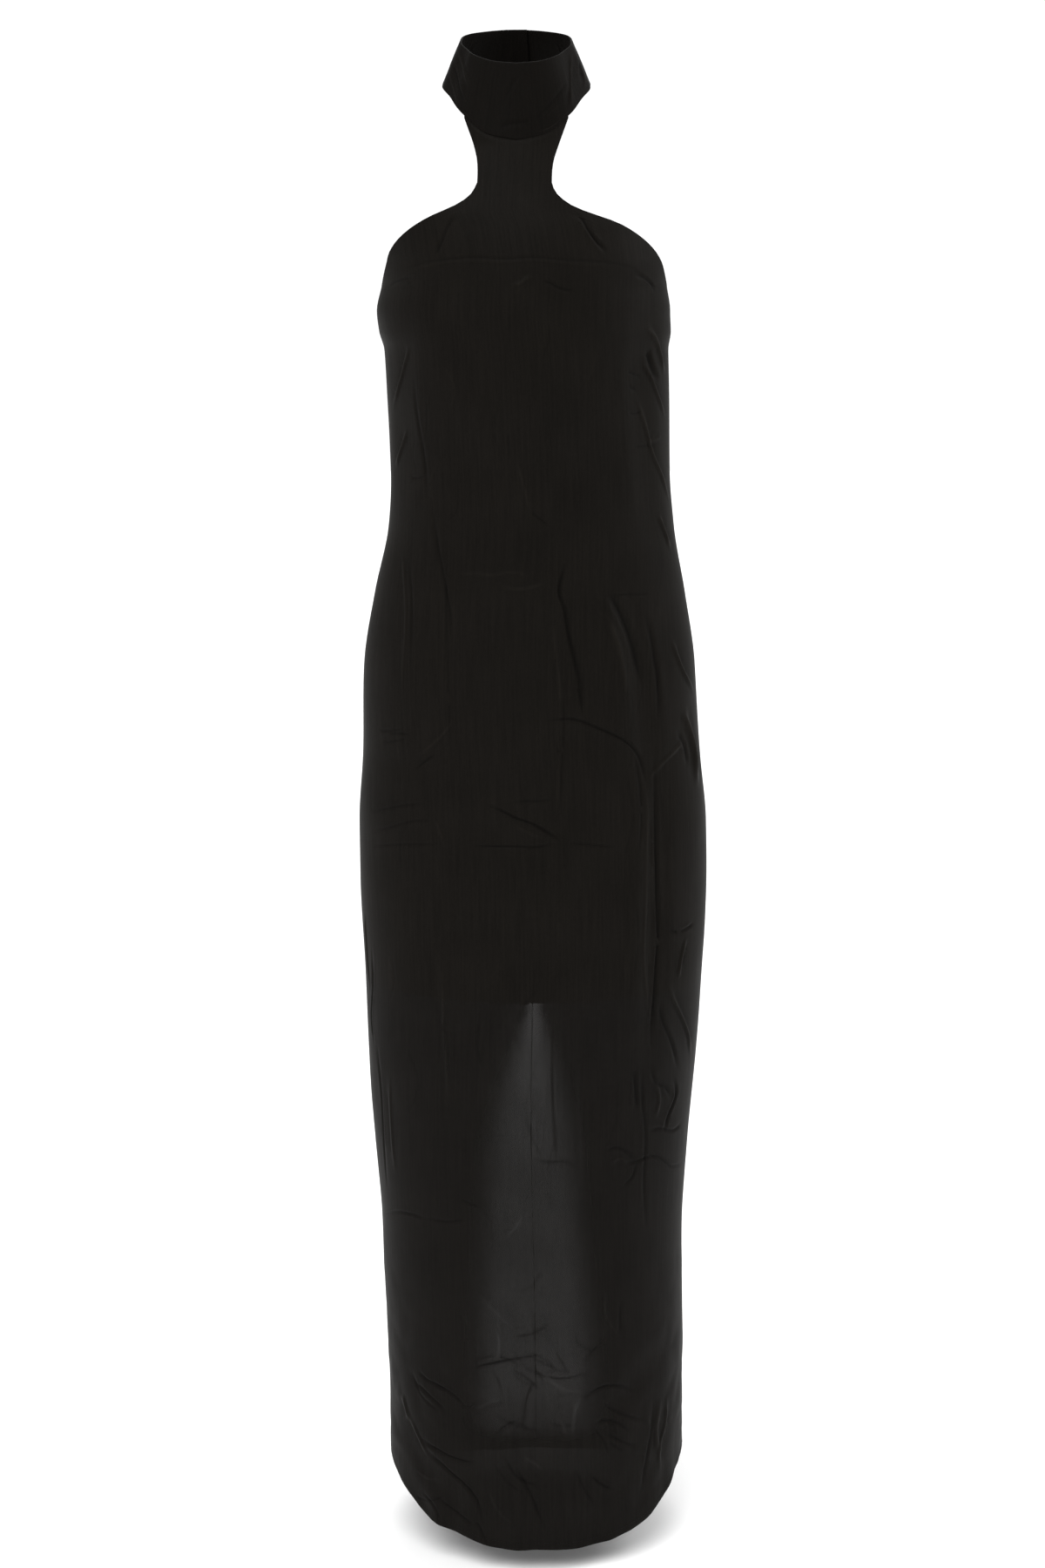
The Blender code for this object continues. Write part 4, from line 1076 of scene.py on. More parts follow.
# %% Creases of the back
DRAWN_BEHIND = from_millimetres(Crease, (
    ("under the top edge", 0.9, 3, ((-118, -214), (-90, -222), (-60, -226))),
    ("left blade drag", 1.2, 3, ((128, -222), (112, -246), (100, -276), (93, -300))),
    ("left side drag", -1.2, 3, ((136, -252), (127, -282), (120, -318), (118, -352))),
    ("right blade drag", 1.2, 3, ((-114, -228), (-102, -252), (-90, -290))),
    ("right side drag", -1.2, 3, ((-120, -262), (-111, -300), (-104, -346))),
    ("zip pucker 1", 0.7, 2.6, ((14, -292), (26, -300), (41, -303))),
    ("zip pucker 2", 0.8, 2.6, ((8, -352), (-10, -360), (-30, -372), (-48, -378))),
    ("zip pucker 3", 0.8, 2.6, ((20, -366), (40, -376), (62, -379))),
    ("small of the back", 1.4, 3.4, ((-46, -402), (-18, -412), (10, -414), (44, -404))),
    ("above the small", -0.9, 3.4, ((-30, -386), (0, -394), (30, -390))),
    ("left hip drag", 1.3, 3.2, ((142, -414), (120, -440), (98, -472), (84, -498))),
    ("right hip drag", 1.2, 3.2, ((-112, -420), (-90, -446), (-70, -484))),
    ("right hip line", -0.8, 2.8, ((-126, -470), (-119, -520), (-122, -572))),
    ("seat line left", 1.4, 3.2, ((24, -742), (50, -754), (82, -756), (112, -742))),
    ("seat line right", 1.2, 3, ((-4, -748), (-30, -758), (-62, -756), (-90, -742))),
    ("under the seat", 1.1, 3, ((-34, -792), (-8, -799), (22, -800), (52, -794))),
    ("left thigh line", 0.9, 2.8, ((150, -668), (140, -700), (134, -740), (132, -786))),
    ("left pleat", 2, 3, ((152, -800), (150, -860), (146, -930), (140, -994))),
    ("beside the pleat", -1, 3.2, ((139, -790), (138, -850), (134, -920))),
    ("left drape 1", 1.3, 3.4, ((98, -846), (100, -920), (104, -1010), (106, -1110))),
    ("left drape 2", -1.2, 3.6, ((62, -880), (63, -970), (67, -1070), (72, -1180))),
    ("left drape 3", 1, 3.2, ((40, -940), (38, -1040), (44, -1150))),
    ("right drape 1", 1.3, 3.4, ((-70, -836), (-74, -930), (-78, -1030), (-86, -1140))),
    ("right drape 2", -1.1, 3.6, ((-32, -870), (-34, -960), (-40, -1060))),
    ("right drape 3", 1, 3, ((-112, -850), (-114, -930), (-112, -1030), (-117, -1116))),
    ("left crumple 1", 1.2, 3, ((128, -1050), (112, -1062), (96, -1060), (80, -1070))),
    ("left crumple 2", 1, 2.8, ((142, -1092), (124, -1098), (110, -1090))),
    ("right crumple", 1.1, 3, ((-108, -1128), (-90, -1136), (-70, -1132))),
    ("hem drag left 1", 1.4, 3, ((132, -1310), (108, -1322), (86, -1342), (70, -1368))),
    ("hem drag left 2", 1.3, 3, ((140, -1348), (116, -1368), (100, -1396))),
    ("hem drag left 3", -1.1, 3, ((70, -1400), (62, -1428), (60, -1456))),
    ("hem middle 1", 1.1, 2.8, ((36, -1318), (18, -1330), (-4, -1334))),
    ("hem middle 2", 1.2, 2.8, ((20, -1382), (10, -1408), (6, -1440))),
    ("hem drag right 1", 1.3, 3, ((-100, -1306), (-80, -1320), (-56, -1326))),
    ("hem drag right 2", 1.4, 3, ((-106, -1352), (-86, -1364), (-64, -1384), (-52, -1412))),
    ("hem drag right 3", -1.1, 3, ((-72, -1404), (-64, -1426), (-62, -1448))),
))
print("creases drawn behind:", len(DRAWN_BEHIND))

# %% Back panels
BACK_COLUMNS = 56
ZIP_END = -0.620            # below the zip the centre seam is a hairline one
HAIRLINE = 0.06             # of a seam's usual turning
HAIRLINE_DROP = 0.02        # it starts to narrow this far below the zip
HAIRLINE_RUN = 0.03         # over this much
SEAM_FADE = 0.010           # creases weaken this near the centre seam
SEAM_LEAST = 0.25           # to this share
TURNED_IN = 0.8             # cloth this share of the turned inset in is turning
LINING_BACK_SINK = 0.004    # the lining ends this far below the back's top edge
SEAM_OPEN = 3.0             # the hairline seam shows no darker than one layer of cloth
back_levels = turned_run(HEM, BACK_TOP, spaced(HEM, BACK_TOP, LEVEL_STEP), HEM_TURN, SEAM_TURN)


def back_top(across):
    """The lining's top edge behind."""
    return np.full(np.shape(across), BACK_TOP - LINING_BACK_SINK)


def seam_fade(across):
    """How strong creases are beside the centre seam."""
    return np.clip(np.abs(across) * HALF_ROUND / SEAM_FADE, SEAM_LEAST, 1.0)


BACK = Panel(
    back_form, unroll_back, BACK_FOLDS, DRAWN_BEHIND + all_strewn(STREWN_BEHIND), seam_fade, back_top,
    swell_seed=8, hem_seed=34)


def back_mesh(name, first, last):
    """Half of the back, whose columns run from first to last."""
    grid = panel_grid(turned_columns(first, last, 1 / BACK_COLUMNS), back_levels, creased(BACK))
    turned = (grid.insets > TURNED_IN * TURNED_INSET) & (np.abs(grid.across) < 0.5)
    below_zip = np.clip((ZIP_END - HAIRLINE_DROP - grid.level) / HAIRLINE_RUN, 0.0, 1.0)
    across = np.where(turned, grid.across * (1 - (1 - HAIRLINE) * below_zip), grid.across)
    form = back_form(across, grid.level)
    relief, line = panel_relief(BACK, form, across)
    sheer = np.where(turned & (grid.level < LINING_HEM), SEAM_OPEN, painted_see_through(across, form.z, BACK_OPEN))
    return cloth_mesh(
        name, sunk(form, relief + grid.insets), form.round_the_body, form.z, grid.faces, sheer=sheer,
        crease=line)


back_left_mesh = back_mesh("back_left_silk", 1.0, 0.0)
back_right_mesh = back_mesh("back_right_silk", 0.0, -1.0)
print("creases of the back:", len(BACK.creases))
print("back:", triangles(back_left_mesh), "and", triangles(back_right_mesh), "triangles")

# %% [markdown]
# ## The collar
# The stand collar is one band of silk, doubled along its top edge, whose ends lap at the nape. It
# is a closed loop in section: up the outside, over the fold, down the inside and round the seam.
# Sweeping that loop round the neck gives a band with a soft top edge and real ends.

# %% Collar form
CollarStation = namedtuple("CollarStation", "angle lower upper")
COLLAR = (
    CollarStation(0, COLLAR_SEAM, 0.0184),
    CollarStation(22, -0.0490, 0.0202),
    CollarStation(44.6, -0.0310, 0.0256),
    CollarStation(68, -0.0110, 0.0338),
    CollarStation(90, 0.0000, 0.0432),
    CollarStation(125, 0.0060, 0.0510),
    CollarStation(180, 0.0090, 0.0560),
    CollarStation(192, 0.0090, 0.0560),
)
COLLAR_BASE = (0.0725, 0.0675)
COLLAR_TOP = (0.0543, 0.0550)
COLLAR_SET_BACK = 0.005
COLLAR_CLOTH = 0.0020
SEAM_GAP = 0.0003
NAPE_LAP = math.radians(11)
NAPE_STEP_START = math.radians(148)
NAPE_STEP = COLLAR_CLOTH + 0.0005
COLLAR_FOLD_END = 0.25      # where on a half wave of depth a fold starts

CollarFold = namedtuple("CollarFold", "angle depth half_width")
COLLAR_FOLDS = (
    CollarFold(-118, 0.0012, 14),
    CollarFold(-80, -0.0012, 9),
    CollarFold(-64, 0.0016, 11),
    CollarFold(60, 0.0014, 11),
    CollarFold(77, -0.0014, 9),
    CollarFold(122, 0.0012, 14),
)

# Routes of the collar's creases are (angle in degrees from the centre front, share of the height).
# Their depths and half widths are in metres.
COLLAR_CREASES = (
    Crease("right bright", -0.0009, 0.0026, ((-78, 0.88), (-64, 0.73), (-52, 0.59), (-42, 0.41))),
    Crease("right dark", 0.0010, 0.0028, ((-79, 0.62), (-66, 0.42), (-54, 0.28), (-47, 0.13))),
    Crease("right edge", -0.0007, 0.0022, ((-79, 0.43), (-66, 0.23), (-54, 0.11), (-49, 0.01))),
    Crease("left bright", -0.0009, 0.0026, ((73, 0.96), (61, 0.62), (53, 0.34), (48, 0.08))),
    Crease("left dark", 0.0010, 0.0028, ((84, 0.72), (75, 0.54), (71, 0.26))),
    Crease("left outer bright", -0.0007, 0.0024, ((76, 0.46), (74, 0.26), (68, 0.11))),
    Crease("left grey", -0.0002, 0.0024, ((24, 0.21), (30, 0.25), (40, 0.27))),
    Crease("left slant", 0.0003, 0.0026, ((13, 0.17), (23, 0.31), (39, 0.43), (53, 0.52))),
    Crease("right low", 0.0003, 0.0026, ((-16, 0.10), (-2, 0.21), (13, 0.20))),
    Crease("front upright", 0.0002, 0.0026, ((-11, 0.46), (-4, 0.70), (3, 0.86))),
    Crease("right behind", 0.0010, 0.0028, ((-104, 0.86), (-98, 0.60), (-96, 0.30))),
    Crease("right nape", -0.0008, 0.0028, ((-134, 0.90), (-128, 0.62), (-130, 0.30))),
    Crease("left behind", 0.0009, 0.0028, ((100, 0.80), (97, 0.52), (101, 0.22))),
    Crease("left nape", 0.0009, 0.0028, ((136, 0.84), (131, 0.55), (134, 0.24))),
)


def collar_heights(degrees):
    """Heights of the collar's lower and upper edge."""
    turned = np.minimum(np.abs(degrees), COLLAR[-1].angle)
    return curve_value(COLLAR, "angle", "lower", turned), curve_value(COLLAR, "angle", "upper", turned)


def collar_form(angle, up, inset):
    """Point of the collar: angle from the centre front, up from 0, its seam, to 1, its fold."""
    degrees = np.degrees(angle)
    low, high = collar_heights(degrees)
    proud = -inset
    for fold in COLLAR_FOLDS:
        away = np.minimum(1.0, np.abs(degrees - fold.angle) / fold.half_width)
        proud = proud - fold.depth * (1 - away * away) ** 2 * half_wave(COLLAR_FOLD_END, np.clip(up, 0, 1))
    climb = np.clip((angle - NAPE_STEP_START) / (math.pi - NAPE_LAP - NAPE_STEP_START), 0.0, 1.0)
    proud = proud + NAPE_STEP * eased(climb)
    half_width = COLLAR_BASE[0] + (COLLAR_TOP[0] - COLLAR_BASE[0]) * up + proud
    half_depth = COLLAR_BASE[1] + (COLLAR_TOP[1] - COLLAR_BASE[1]) * up + proud
    height = low + SEAM_GAP + (high - low - SEAM_GAP) * up
    return half_width * np.sin(angle), COLLAR_SET_BACK - half_depth * np.cos(angle), height


print("collar's height in front:", round((COLLAR[0].upper - COLLAR[0].lower) * 1000), "mm")

# %% Collar band
COLLAR_COLUMNS = 380
COLLAR_RADIUS = 0.066       # for distances along the band
BAND_HEIGHT = 0.070
FOLD_ROUND = COLLAR_CLOTH / 2
SEAM_ROLL = 0.014           # share of the height over which the seam rolls round
TOP_ROLL = 0.016            # and over which the top fold does
ROLL = (0.4, 2.75)          # angles from which to which a roll is drawn
END_FADE = math.radians(30)
COLLAR_SWELL = 0.00025
LOOP_STEPS = (44, 5, 22, 4)  # up the outside, over the fold, down the inside, round the seam
SAME_POINT = 1e-6


def collar_loop():
    """The band's section as (up, inset) pairs, from the seam up the outside and back inside."""
    low, high = SEAM_ROLL, 1 - TOP_ROLL
    up_steps, fold_steps, down_steps, seam_steps = LOOP_STEPS
    outside = [(up, 0.0) for up in np.linspace(low, high, up_steps)]
    fold = [
        (high + TOP_ROLL * math.sin(t), FOLD_ROUND * (1 - math.cos(t)))
        for t in np.linspace(*ROLL, fold_steps)]
    inside = [(up, 2 * FOLD_ROUND) for up in np.linspace(high, low, down_steps)]
    seam = [
        (low - low * math.sin(t), FOLD_ROUND * (1 + math.cos(t)))
        for t in np.linspace(*ROLL, seam_steps)]
    return np.array(outside + fold + inside + seam + outside[:1])


def collar_relief(angle, up):
    """Creases and soft waves of the collar, the same through both layers, and the creases' painted lines of
    shade and highlight.
    """
    around, rise = angle * COLLAR_RADIUS, up * BAND_HEIGHT
    drawn = []
    for crease in COLLAR_CREASES:
        route = tuple((math.radians(a) * COLLAR_RADIUS, share * BAND_HEIGHT) for a, share in crease.route)
        drawn.append(crease._replace(route=route))
    sink, line = draw_creases(drawn, around, rise, lambda along, _: along)
    return sink + COLLAR_SWELL * soft_waves(around, rise, seed=5), line


loop = collar_loop()
turn = np.linspace(-(math.pi + NAPE_LAP), math.pi + NAPE_LAP, COLLAR_COLUMNS + 1)
band = panel_grid(flat_run(turn), flat_run(np.arange(len(loop))), no_crease)
ups, loop_insets = loop[band.level.round().astype(int)].T
end_fade = np.clip((turn[-1] - np.abs(band.across)) / END_FADE, 0.0, 1.0)
relief, line = collar_relief(band.across, ups)
collar_mesh = cloth_mesh(
    "collar_silk", collar_form(band.across, ups, loop_insets + end_fade * relief),
    band.across * COLLAR_RADIUS, ups * BAND_HEIGHT, band.faces, crease=end_fade * line)
shape = bmesh.new()
shape.from_mesh(collar_mesh)
bmesh.ops.remove_doubles(shape, verts=shape.verts, dist=SAME_POINT)
bmesh.ops.holes_fill(shape, edges=[edge for edge in shape.edges if edge.is_boundary], sides=0)
bmesh.ops.recalc_face_normals(shape, faces=shape.faces)
shape.to_mesh(collar_mesh)
shape.free()
print("collar:", len(collar_mesh.polygons), "faces")

# %% [markdown]
# ## The lining
# A short slip lining hangs inside, sewn in at the top edges and free from there to a hem at the
# knee. Its hem shows through the silk as the line where the skirt turns sheer.

# %% Lining form
LiningPanel = namedtuple("LiningPanel", "form top seed")
LINING_FRONT = LiningPanel(front_form, front_top, 21)
LINING_LEFT = LiningPanel(back_form, back_top, 22)
LINING_RIGHT = LiningPanel(back_form, back_top, 23)
LINING_GAP = 0.0012         # between the lining's panels
LINING_LENGTH = 0.70
LINING_LEVELS = 150
LINING_MARGIN = 0.006       # the first and the last of these levels, from the edges
LINING_HEM_TURN = 0.0100
LINING_TOP_TURN = 0.0060
HANG_RUN = 0.15             # the lining hangs freely this far below its top edge
HANG = 0.0008               # and further in by this much
HANG_SWELL = 0.0009
HANG_LEAST = -0.0006
ZIP_LEEWAY = 0.0042         # the lining stops this far from the zip's coil
LEEWAY_RUN = 0.03           # from this far above the zip's end
LEEWAY_FADE = 3.0           # and less and less up to a third of the way to the side


def lining_depth(form, drop, seed):
    """How deep the lining hangs, a little wavy where it is free."""
    hang = np.clip(drop / HANG_RUN, 0.0, 1.0)
    swell = HANG_SWELL * hang * soft_waves(form.round_the_body, form.z, seed)
    return lining_inset(drop) + HANG * hang + np.maximum(swell, HANG_LEAST)


def lining_mesh(name, panel, first, last, steps):
    """Lining panel, whose levels run from its hem to its top edge, with its seam edges apart."""
    gap = math.copysign(LINING_GAP / 2 / HALF_ROUND, last - first)
    first, last = first + gap, last - gap
    columns = turned_columns(first, last, abs(last - first) / steps)
    middle = np.linspace(LINING_MARGIN, 1 - LINING_MARGIN, LINING_LEVELS)
    shares = turned_run(0.0, 1.0, middle, LINING_HEM_TURN, LINING_TOP_TURN, 1 / LINING_LENGTH)
    grid = panel_grid(columns, shares, no_crease)
    across = grid.across
    top = panel.top(across)
    level = LINING_HEM + (top - LINING_HEM) * grid.level
    if panel.form is back_form:
        beside_zip = np.clip((level - ZIP_END) / LEEWAY_RUN, 0.0, 1.0)
        beside_zip *= np.clip(1 - LEEWAY_FADE * np.abs(across), 0.0, 1.0)
        across = across + np.copysign(ZIP_LEEWAY / HALF_ROUND, columns.places.mean()) * beside_zip
    form = panel.form(across, level)
    inset = lining_depth(form, top - level, panel.seed) + grid.insets
    return cloth_mesh(name, sunk(form, inset), form.round_the_body, form.z, grid.faces)


lining_front_mesh = lining_mesh("lining_front_silk", LINING_FRONT, -1.0, 1.0, 90)
lining_left_mesh = lining_mesh("lining_back_left_silk", LINING_LEFT, 1.0, 0.0, 44)
lining_right_mesh = lining_mesh("lining_back_right_silk", LINING_RIGHT, 0.0, -1.0, 44)
print("lining:", sum(triangles(m) for m in (lining_front_mesh, lining_left_mesh, lining_right_mesh)))

# %% [markdown]
# ## Silk crepe
# Crepe is woven from hard-twisted yarn, so its surface is matt and pebbled, with fine upright
# streaks in this one. A picture of cloth would tile, so the grain is made of noise, in the panels'
# own maps, which are in metres. One node group serves the silk, the sheer silk, the lining and the
# covered buttons.

# %% Nodes for the finishes
def new_group(name, inputs, outputs):
    """Shader node group with its own sockets."""
    group = bpy.data.node_groups.new(name, "ShaderNodeTree")
    for label, kind in inputs:
        group.interface.new_socket(name=label, in_out="INPUT", socket_type=kind)
    for label, kind in outputs:
        group.interface.new_socket(name=label, in_out="OUTPUT", socket_type=kind)
    return group, group.nodes.new("NodeGroupInput"), group.nodes.new("NodeGroupOutput")


def grain_noise(group, place, scale, detail):
    """Noise between 0 and 1 in a stretched map."""
    mapping = group.nodes.new("ShaderNodeMapping")
    mapping.inputs["Scale"].default_value = (*scale, 1.0)
    texture = group.nodes.new("ShaderNodeTexNoise")
    texture.inputs["Scale"].default_value = 1.0
    texture.inputs["Detail"].default_value = detail
    group.links.new(place, mapping.inputs["Vector"])
    group.links.new(mapping.outputs["Vector"], texture.inputs["Vector"])
    return texture.outputs["Fac"]


def arithmetic(tree, operation, *terms):
    """Result of an arithmetic node over sockets and plain numbers."""
    made = tree.nodes.new("ShaderNodeMath")
    made.operation = operation
    for socket, term in zip(made.inputs, terms):
        if isinstance(term, bpy.types.NodeSocket):
            tree.links.new(term, socket)
        else:
            socket.default_value = term
    return made.outputs["Value"]


def blend_of(group, first, *others):
    """Socket for the sum of (socket, weight) terms."""
    total = arithmetic(group, "MULTIPLY", *first)
    for term in others:
        total = arithmetic(group, "ADD", total, arithmetic(group, "MULTIPLY", *term))
    return total


print("node helpers: noise, sums and blends")

# %% Crepe grain
STREAK = (1 / 0.0009, 1 / 0.0060)       # streaks to the metre, across and along
LONG_STREAK = (1 / 0.0022, 1 / 0.0600)
PEBBLE = (1 / 0.0007, 1 / 0.0007)
PATCH = (1 / 0.060, 1 / 0.060)

crepe_grain, grain_in, grain_out = new_group(
    "crepe grain", (("Cloth", "NodeSocketVector"),),
    (("Height", "NodeSocketFloat"), ("Tone", "NodeSocketFloat")))
streaks, pebbles, patches, long_streaks = (
    grain_noise(crepe_grain, grain_in.outputs["Cloth"], scale, detail)
    for scale, detail in ((STREAK, 2.0), (PEBBLE, 2.0), (PATCH, 3.0), (LONG_STREAK, 2.0)))
grain_height = blend_of(crepe_grain, (streaks, 0.5), (pebbles, 0.3), (long_streaks, 0.2))
grain_tone = blend_of(
    crepe_grain, (streaks, 0.25), (pebbles, 0.10), (patches, 0.25), (long_streaks, 0.40))
crepe_grain.links.new(grain_height, grain_out.inputs["Height"])
crepe_grain.links.new(grain_tone, grain_out.inputs["Tone"])
print("grain group:", len(crepe_grain.nodes), "nodes")


# %% Parts of a finish
def mapped_range(tree, socket, low, high):
    """Socket that turns the middle half of 0 to 1 into low to high."""
    remap = tree.nodes.new("ShaderNodeMapRange")
    for label, value in (("From Min", 0.25), ("From Max", 0.75), ("To Min", low), ("To Max", high)):
        remap.inputs[label].default_value = value
    tree.links.new(socket, remap.inputs["Value"])
    return remap.outputs["Result"]


def own_map(tree):
    """The cloth's own map, in metres."""
    cloth = tree.nodes.new("ShaderNodeUVMap")
    cloth.uv_map = "cloth"
    return cloth.outputs["UV"]


def own_place(tree):
    """Place on a piece, in metres."""
    return tree.nodes.new("ShaderNodeTexCoord").outputs["Object"]


def crepe_at(tree, place):
    """Tone and height of the crepe's grain at a place."""
    grain = tree.nodes.new("ShaderNodeGroup")
    grain.node_tree = crepe_grain
    tree.links.new(place, grain.inputs["Cloth"])
    return grain.outputs["Tone"], grain.outputs["Height"]


def speckle(tree, scale, detail):
    """Noise on a piece's own place."""
    texture = tree.nodes.new("ShaderNodeTexNoise")
    texture.inputs["Scale"].default_value = scale
    texture.inputs["Detail"].default_value = detail
    tree.links.new(own_place(tree), texture.inputs["Vector"])
    return texture.outputs["Fac"]


def two_tones(tree, share, dark, light):
    """Colour between a dark and a light one."""
    mix = tree.nodes.new("ShaderNodeMix")
    mix.data_type = "RGBA"
    mix.inputs["A"].default_value = (*dark, 1.0)
    mix.inputs["B"].default_value = (*light, 1.0)
    tree.links.new(share, mix.inputs["Factor"])
    return mix.outputs["Result"]


def set_finish(tree, shader, colour, tone, roughness, gloss):
    """Colour, roughness that runs with the tone, and gloss."""
    tree.links.new(colour, shader.inputs["Base Color"])
    tree.links.new(mapped_range(tree, tone, *roughness), shader.inputs["Roughness"])
    shader.inputs["Specular IOR Level"].default_value = gloss


def set_relief(tree, shader, height, distance):
    """Relief of the surface, this deep."""
    relief = tree.nodes.new("ShaderNodeBump")
    relief.inputs["Distance"].default_value = distance
    tree.links.new(height, relief.inputs["Height"])
    tree.links.new(relief.outputs["Normal"], shader.inputs["Normal"])


print("a finish: colour, roughness, gloss and relief")

# %% Black crepe
RIDGE_PAINTED_HIGHLIGHT = 1.60          # painted highlight: a crease's ridge gets this much of plain cloth's colour
TROUGH_PAINTED_SHADE = 0.48         # and painted shade: its trough this much
UNEVEN = 0.38               # by which the openness varies with the grain
PAINTED_CREASE_CLOSING = 2.4          # the higher, the more the painted crease shade closes the sheer cloth
SHEERNESS = 0.135           # share of light that one open layer lets through
SHEEN_ROUGHNESS = 0.45      # a soft, wide sheen, a little warm
SHEEN_TINT = (1.0, 0.95, 0.90, 1.0)


def painted_crease_light(tree):
    """Factor of painted shade and painted highlight along the crease lines, for the base colour: below 1 in
    a trough, above 1 on a ridge.
    """
    painted_lines = tree.nodes.new("ShaderNodeAttribute")
    painted_lines.attribute_name = "crease"
    shade = tree.nodes.new("ShaderNodeMapRange")
    shade.inputs["From Min"].default_value = -1.0
    shade.inputs["To Min"].default_value = RIDGE_PAINTED_HIGHLIGHT
    shade.inputs["To Max"].default_value = TROUGH_PAINTED_SHADE
    tree.links.new(painted_lines.outputs["Fac"], shade.inputs["Value"])
    return shade.outputs["Result"]


def silk(name, dark, light, roughness, bump, gloss, sheen, sheerness=0.0):
    """Silk material on a piece's own map. dark and light are the ends of its base colour."""
    material, tree, shader = new_material(name)
    tone, height = crepe_at(tree, own_map(tree))
    colour = two_tones(tree, mapped_range(tree, tone, 0.0, 1.0), dark, light)
    # Painted shade in crease troughs and painted highlight on ridges, multiplied into the base colour.
    shade = painted_crease_light(tree)
    crease_painted_colour = tree.nodes.new("ShaderNodeMix")
    crease_painted_colour.data_type = "RGBA"
    crease_painted_colour.blend_type = "MULTIPLY"
    crease_painted_colour.inputs["Factor"].default_value = 1.0
    tree.links.new(colour, crease_painted_colour.inputs["A"])
    tree.links.new(shade, crease_painted_colour.inputs["B"])
    set_finish(tree, shader, crease_painted_colour.outputs["Result"], tone, roughness, gloss)
    set_relief(tree, shader, height, bump)
    shader.inputs["Sheen Weight"].default_value = sheen
    shader.inputs["Sheen Roughness"].default_value = SHEEN_ROUGHNESS
    shader.inputs["Sheen Tint"].default_value = SHEEN_TINT
    if sheerness:
        veil = tree.nodes.new("ShaderNodeAttribute")
        veil.attribute_name = "sheer"
        uneven = mapped_range(tree, tone, (1 - UNEVEN) * sheerness, (1 + UNEVEN) * sheerness)
        open_share = arithmetic(tree, "MULTIPLY", uneven, veil.outputs["Fac"])
        # The painted crease shade also closes the sheer cloth in a trough and opens it on a ridge.
        left_open = arithmetic(tree, "POWER", shade, PAINTED_CREASE_CLOSING)
        let_through = arithmetic(tree, "MULTIPLY", open_share, left_open)
        tree.links.new(arithmetic(tree, "SUBTRACT", 1.0, let_through), shader.inputs["Alpha"])
    return material


CREPE_FINISH = {"roughness": (0.62, 0.48), "bump": 0.00010, "gloss": 0.035, "sheen": 0.004}
LINING_FINISH = {"roughness": (0.38, 0.48), "bump": 0.00004, "gloss": 0.14, "sheen": 0.01}
crepe = silk("black crepe", (0.0032, 0.0027, 0.0021), (0.0082, 0.0070, 0.0057), **CREPE_FINISH)
# The collar's crepe is darker than the rest: painted shade for the upright band, which turns away from the
# light above.
collar_crepe_with_painted_shade = silk(
    "doubled black crepe", (0.0021, 0.0017, 0.0013), (0.0055, 0.0046, 0.0037), **CREPE_FINISH)
sheer_crepe = silk(
    "sheer black crepe", (0.0032, 0.0028, 0.0024), (0.0082, 0.0072, 0.0061), **CREPE_FINISH,
    sheerness=SHEERNESS)
slip = silk("black lining", (0.0035, 0.0032, 0.0030), (0.0060, 0.0055, 0.0051), **LINING_FINISH)
print("silks:", crepe.name, collar_crepe_with_painted_shade.name, sheer_crepe.name, slip.name)

# %% [markdown]
# ## Dressing the solids
# Each panel takes over from its solid and rides on the dress, and the area of its cloth is printed.

# %% Panels in place
def dress_panel(mesh, node, slot, *materials):
    """Panel that replaces its solid. Its faces below the lining's hem take the second material."""
    piece = add_piece(mesh, "dress", slot, *materials)
    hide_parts(node)
    if len(materials) > 1:
        for face in mesh.polygons:
            face.material_index = int(face.center.z < LINING_HEM)
    return piece


front_silk = dress_panel(front_mesh, "front", "crepe_silk", crepe, sheer_crepe)
back_left_silk = dress_panel(back_left_mesh, "back_left", "crepe_silk", crepe, sheer_crepe)
back_right_silk = dress_panel(back_right_mesh, "back_right", "crepe_silk", crepe, sheer_crepe)
collar_silk = dress_panel(collar_mesh, "collar", "crepe_silk", collar_crepe_with_painted_shade)
lining_front_silk = dress_panel(lining_front_mesh, "lining_front", "lining_silk", slip)
lining_left_silk = dress_panel(lining_left_mesh, "lining_back_left", "lining_silk", slip)
lining_right_silk = dress_panel(lining_right_mesh, "lining_back_right", "lining_silk", slip)
print("panels in place")

# %% Cloth areas
def cloth_area(piece):
    return sum(face.area for face in piece.data.polygons)


for panel in (front_silk, back_left_silk, back_right_silk, collar_silk,
              lining_front_silk, lining_left_silk, lining_right_silk):
    print(panel.name, "cloth", round(cloth_area(panel), 4), "m2")

# %% [markdown]
# ## Sewing
# Stitches repeat along a path, which is what Geometry Nodes are for: one tree takes a path, steps
# along it at a pitch and sets down a grain of thread at each step, lengthwise for a running stitch
# and crosswise for a buttonhole stitch or a zip's coil. Placing hundreds of objects from Python
# would do the same, but far more slowly, and the pitch could no longer be tried out by hand.

# %% Grains along a path
def input_socket(tree, label, kind, value=None):
    socket = tree.interface.new_socket(name=label, in_out="INPUT", socket_type=kind)
    if value is not None:
        socket.default_value = value
    return socket


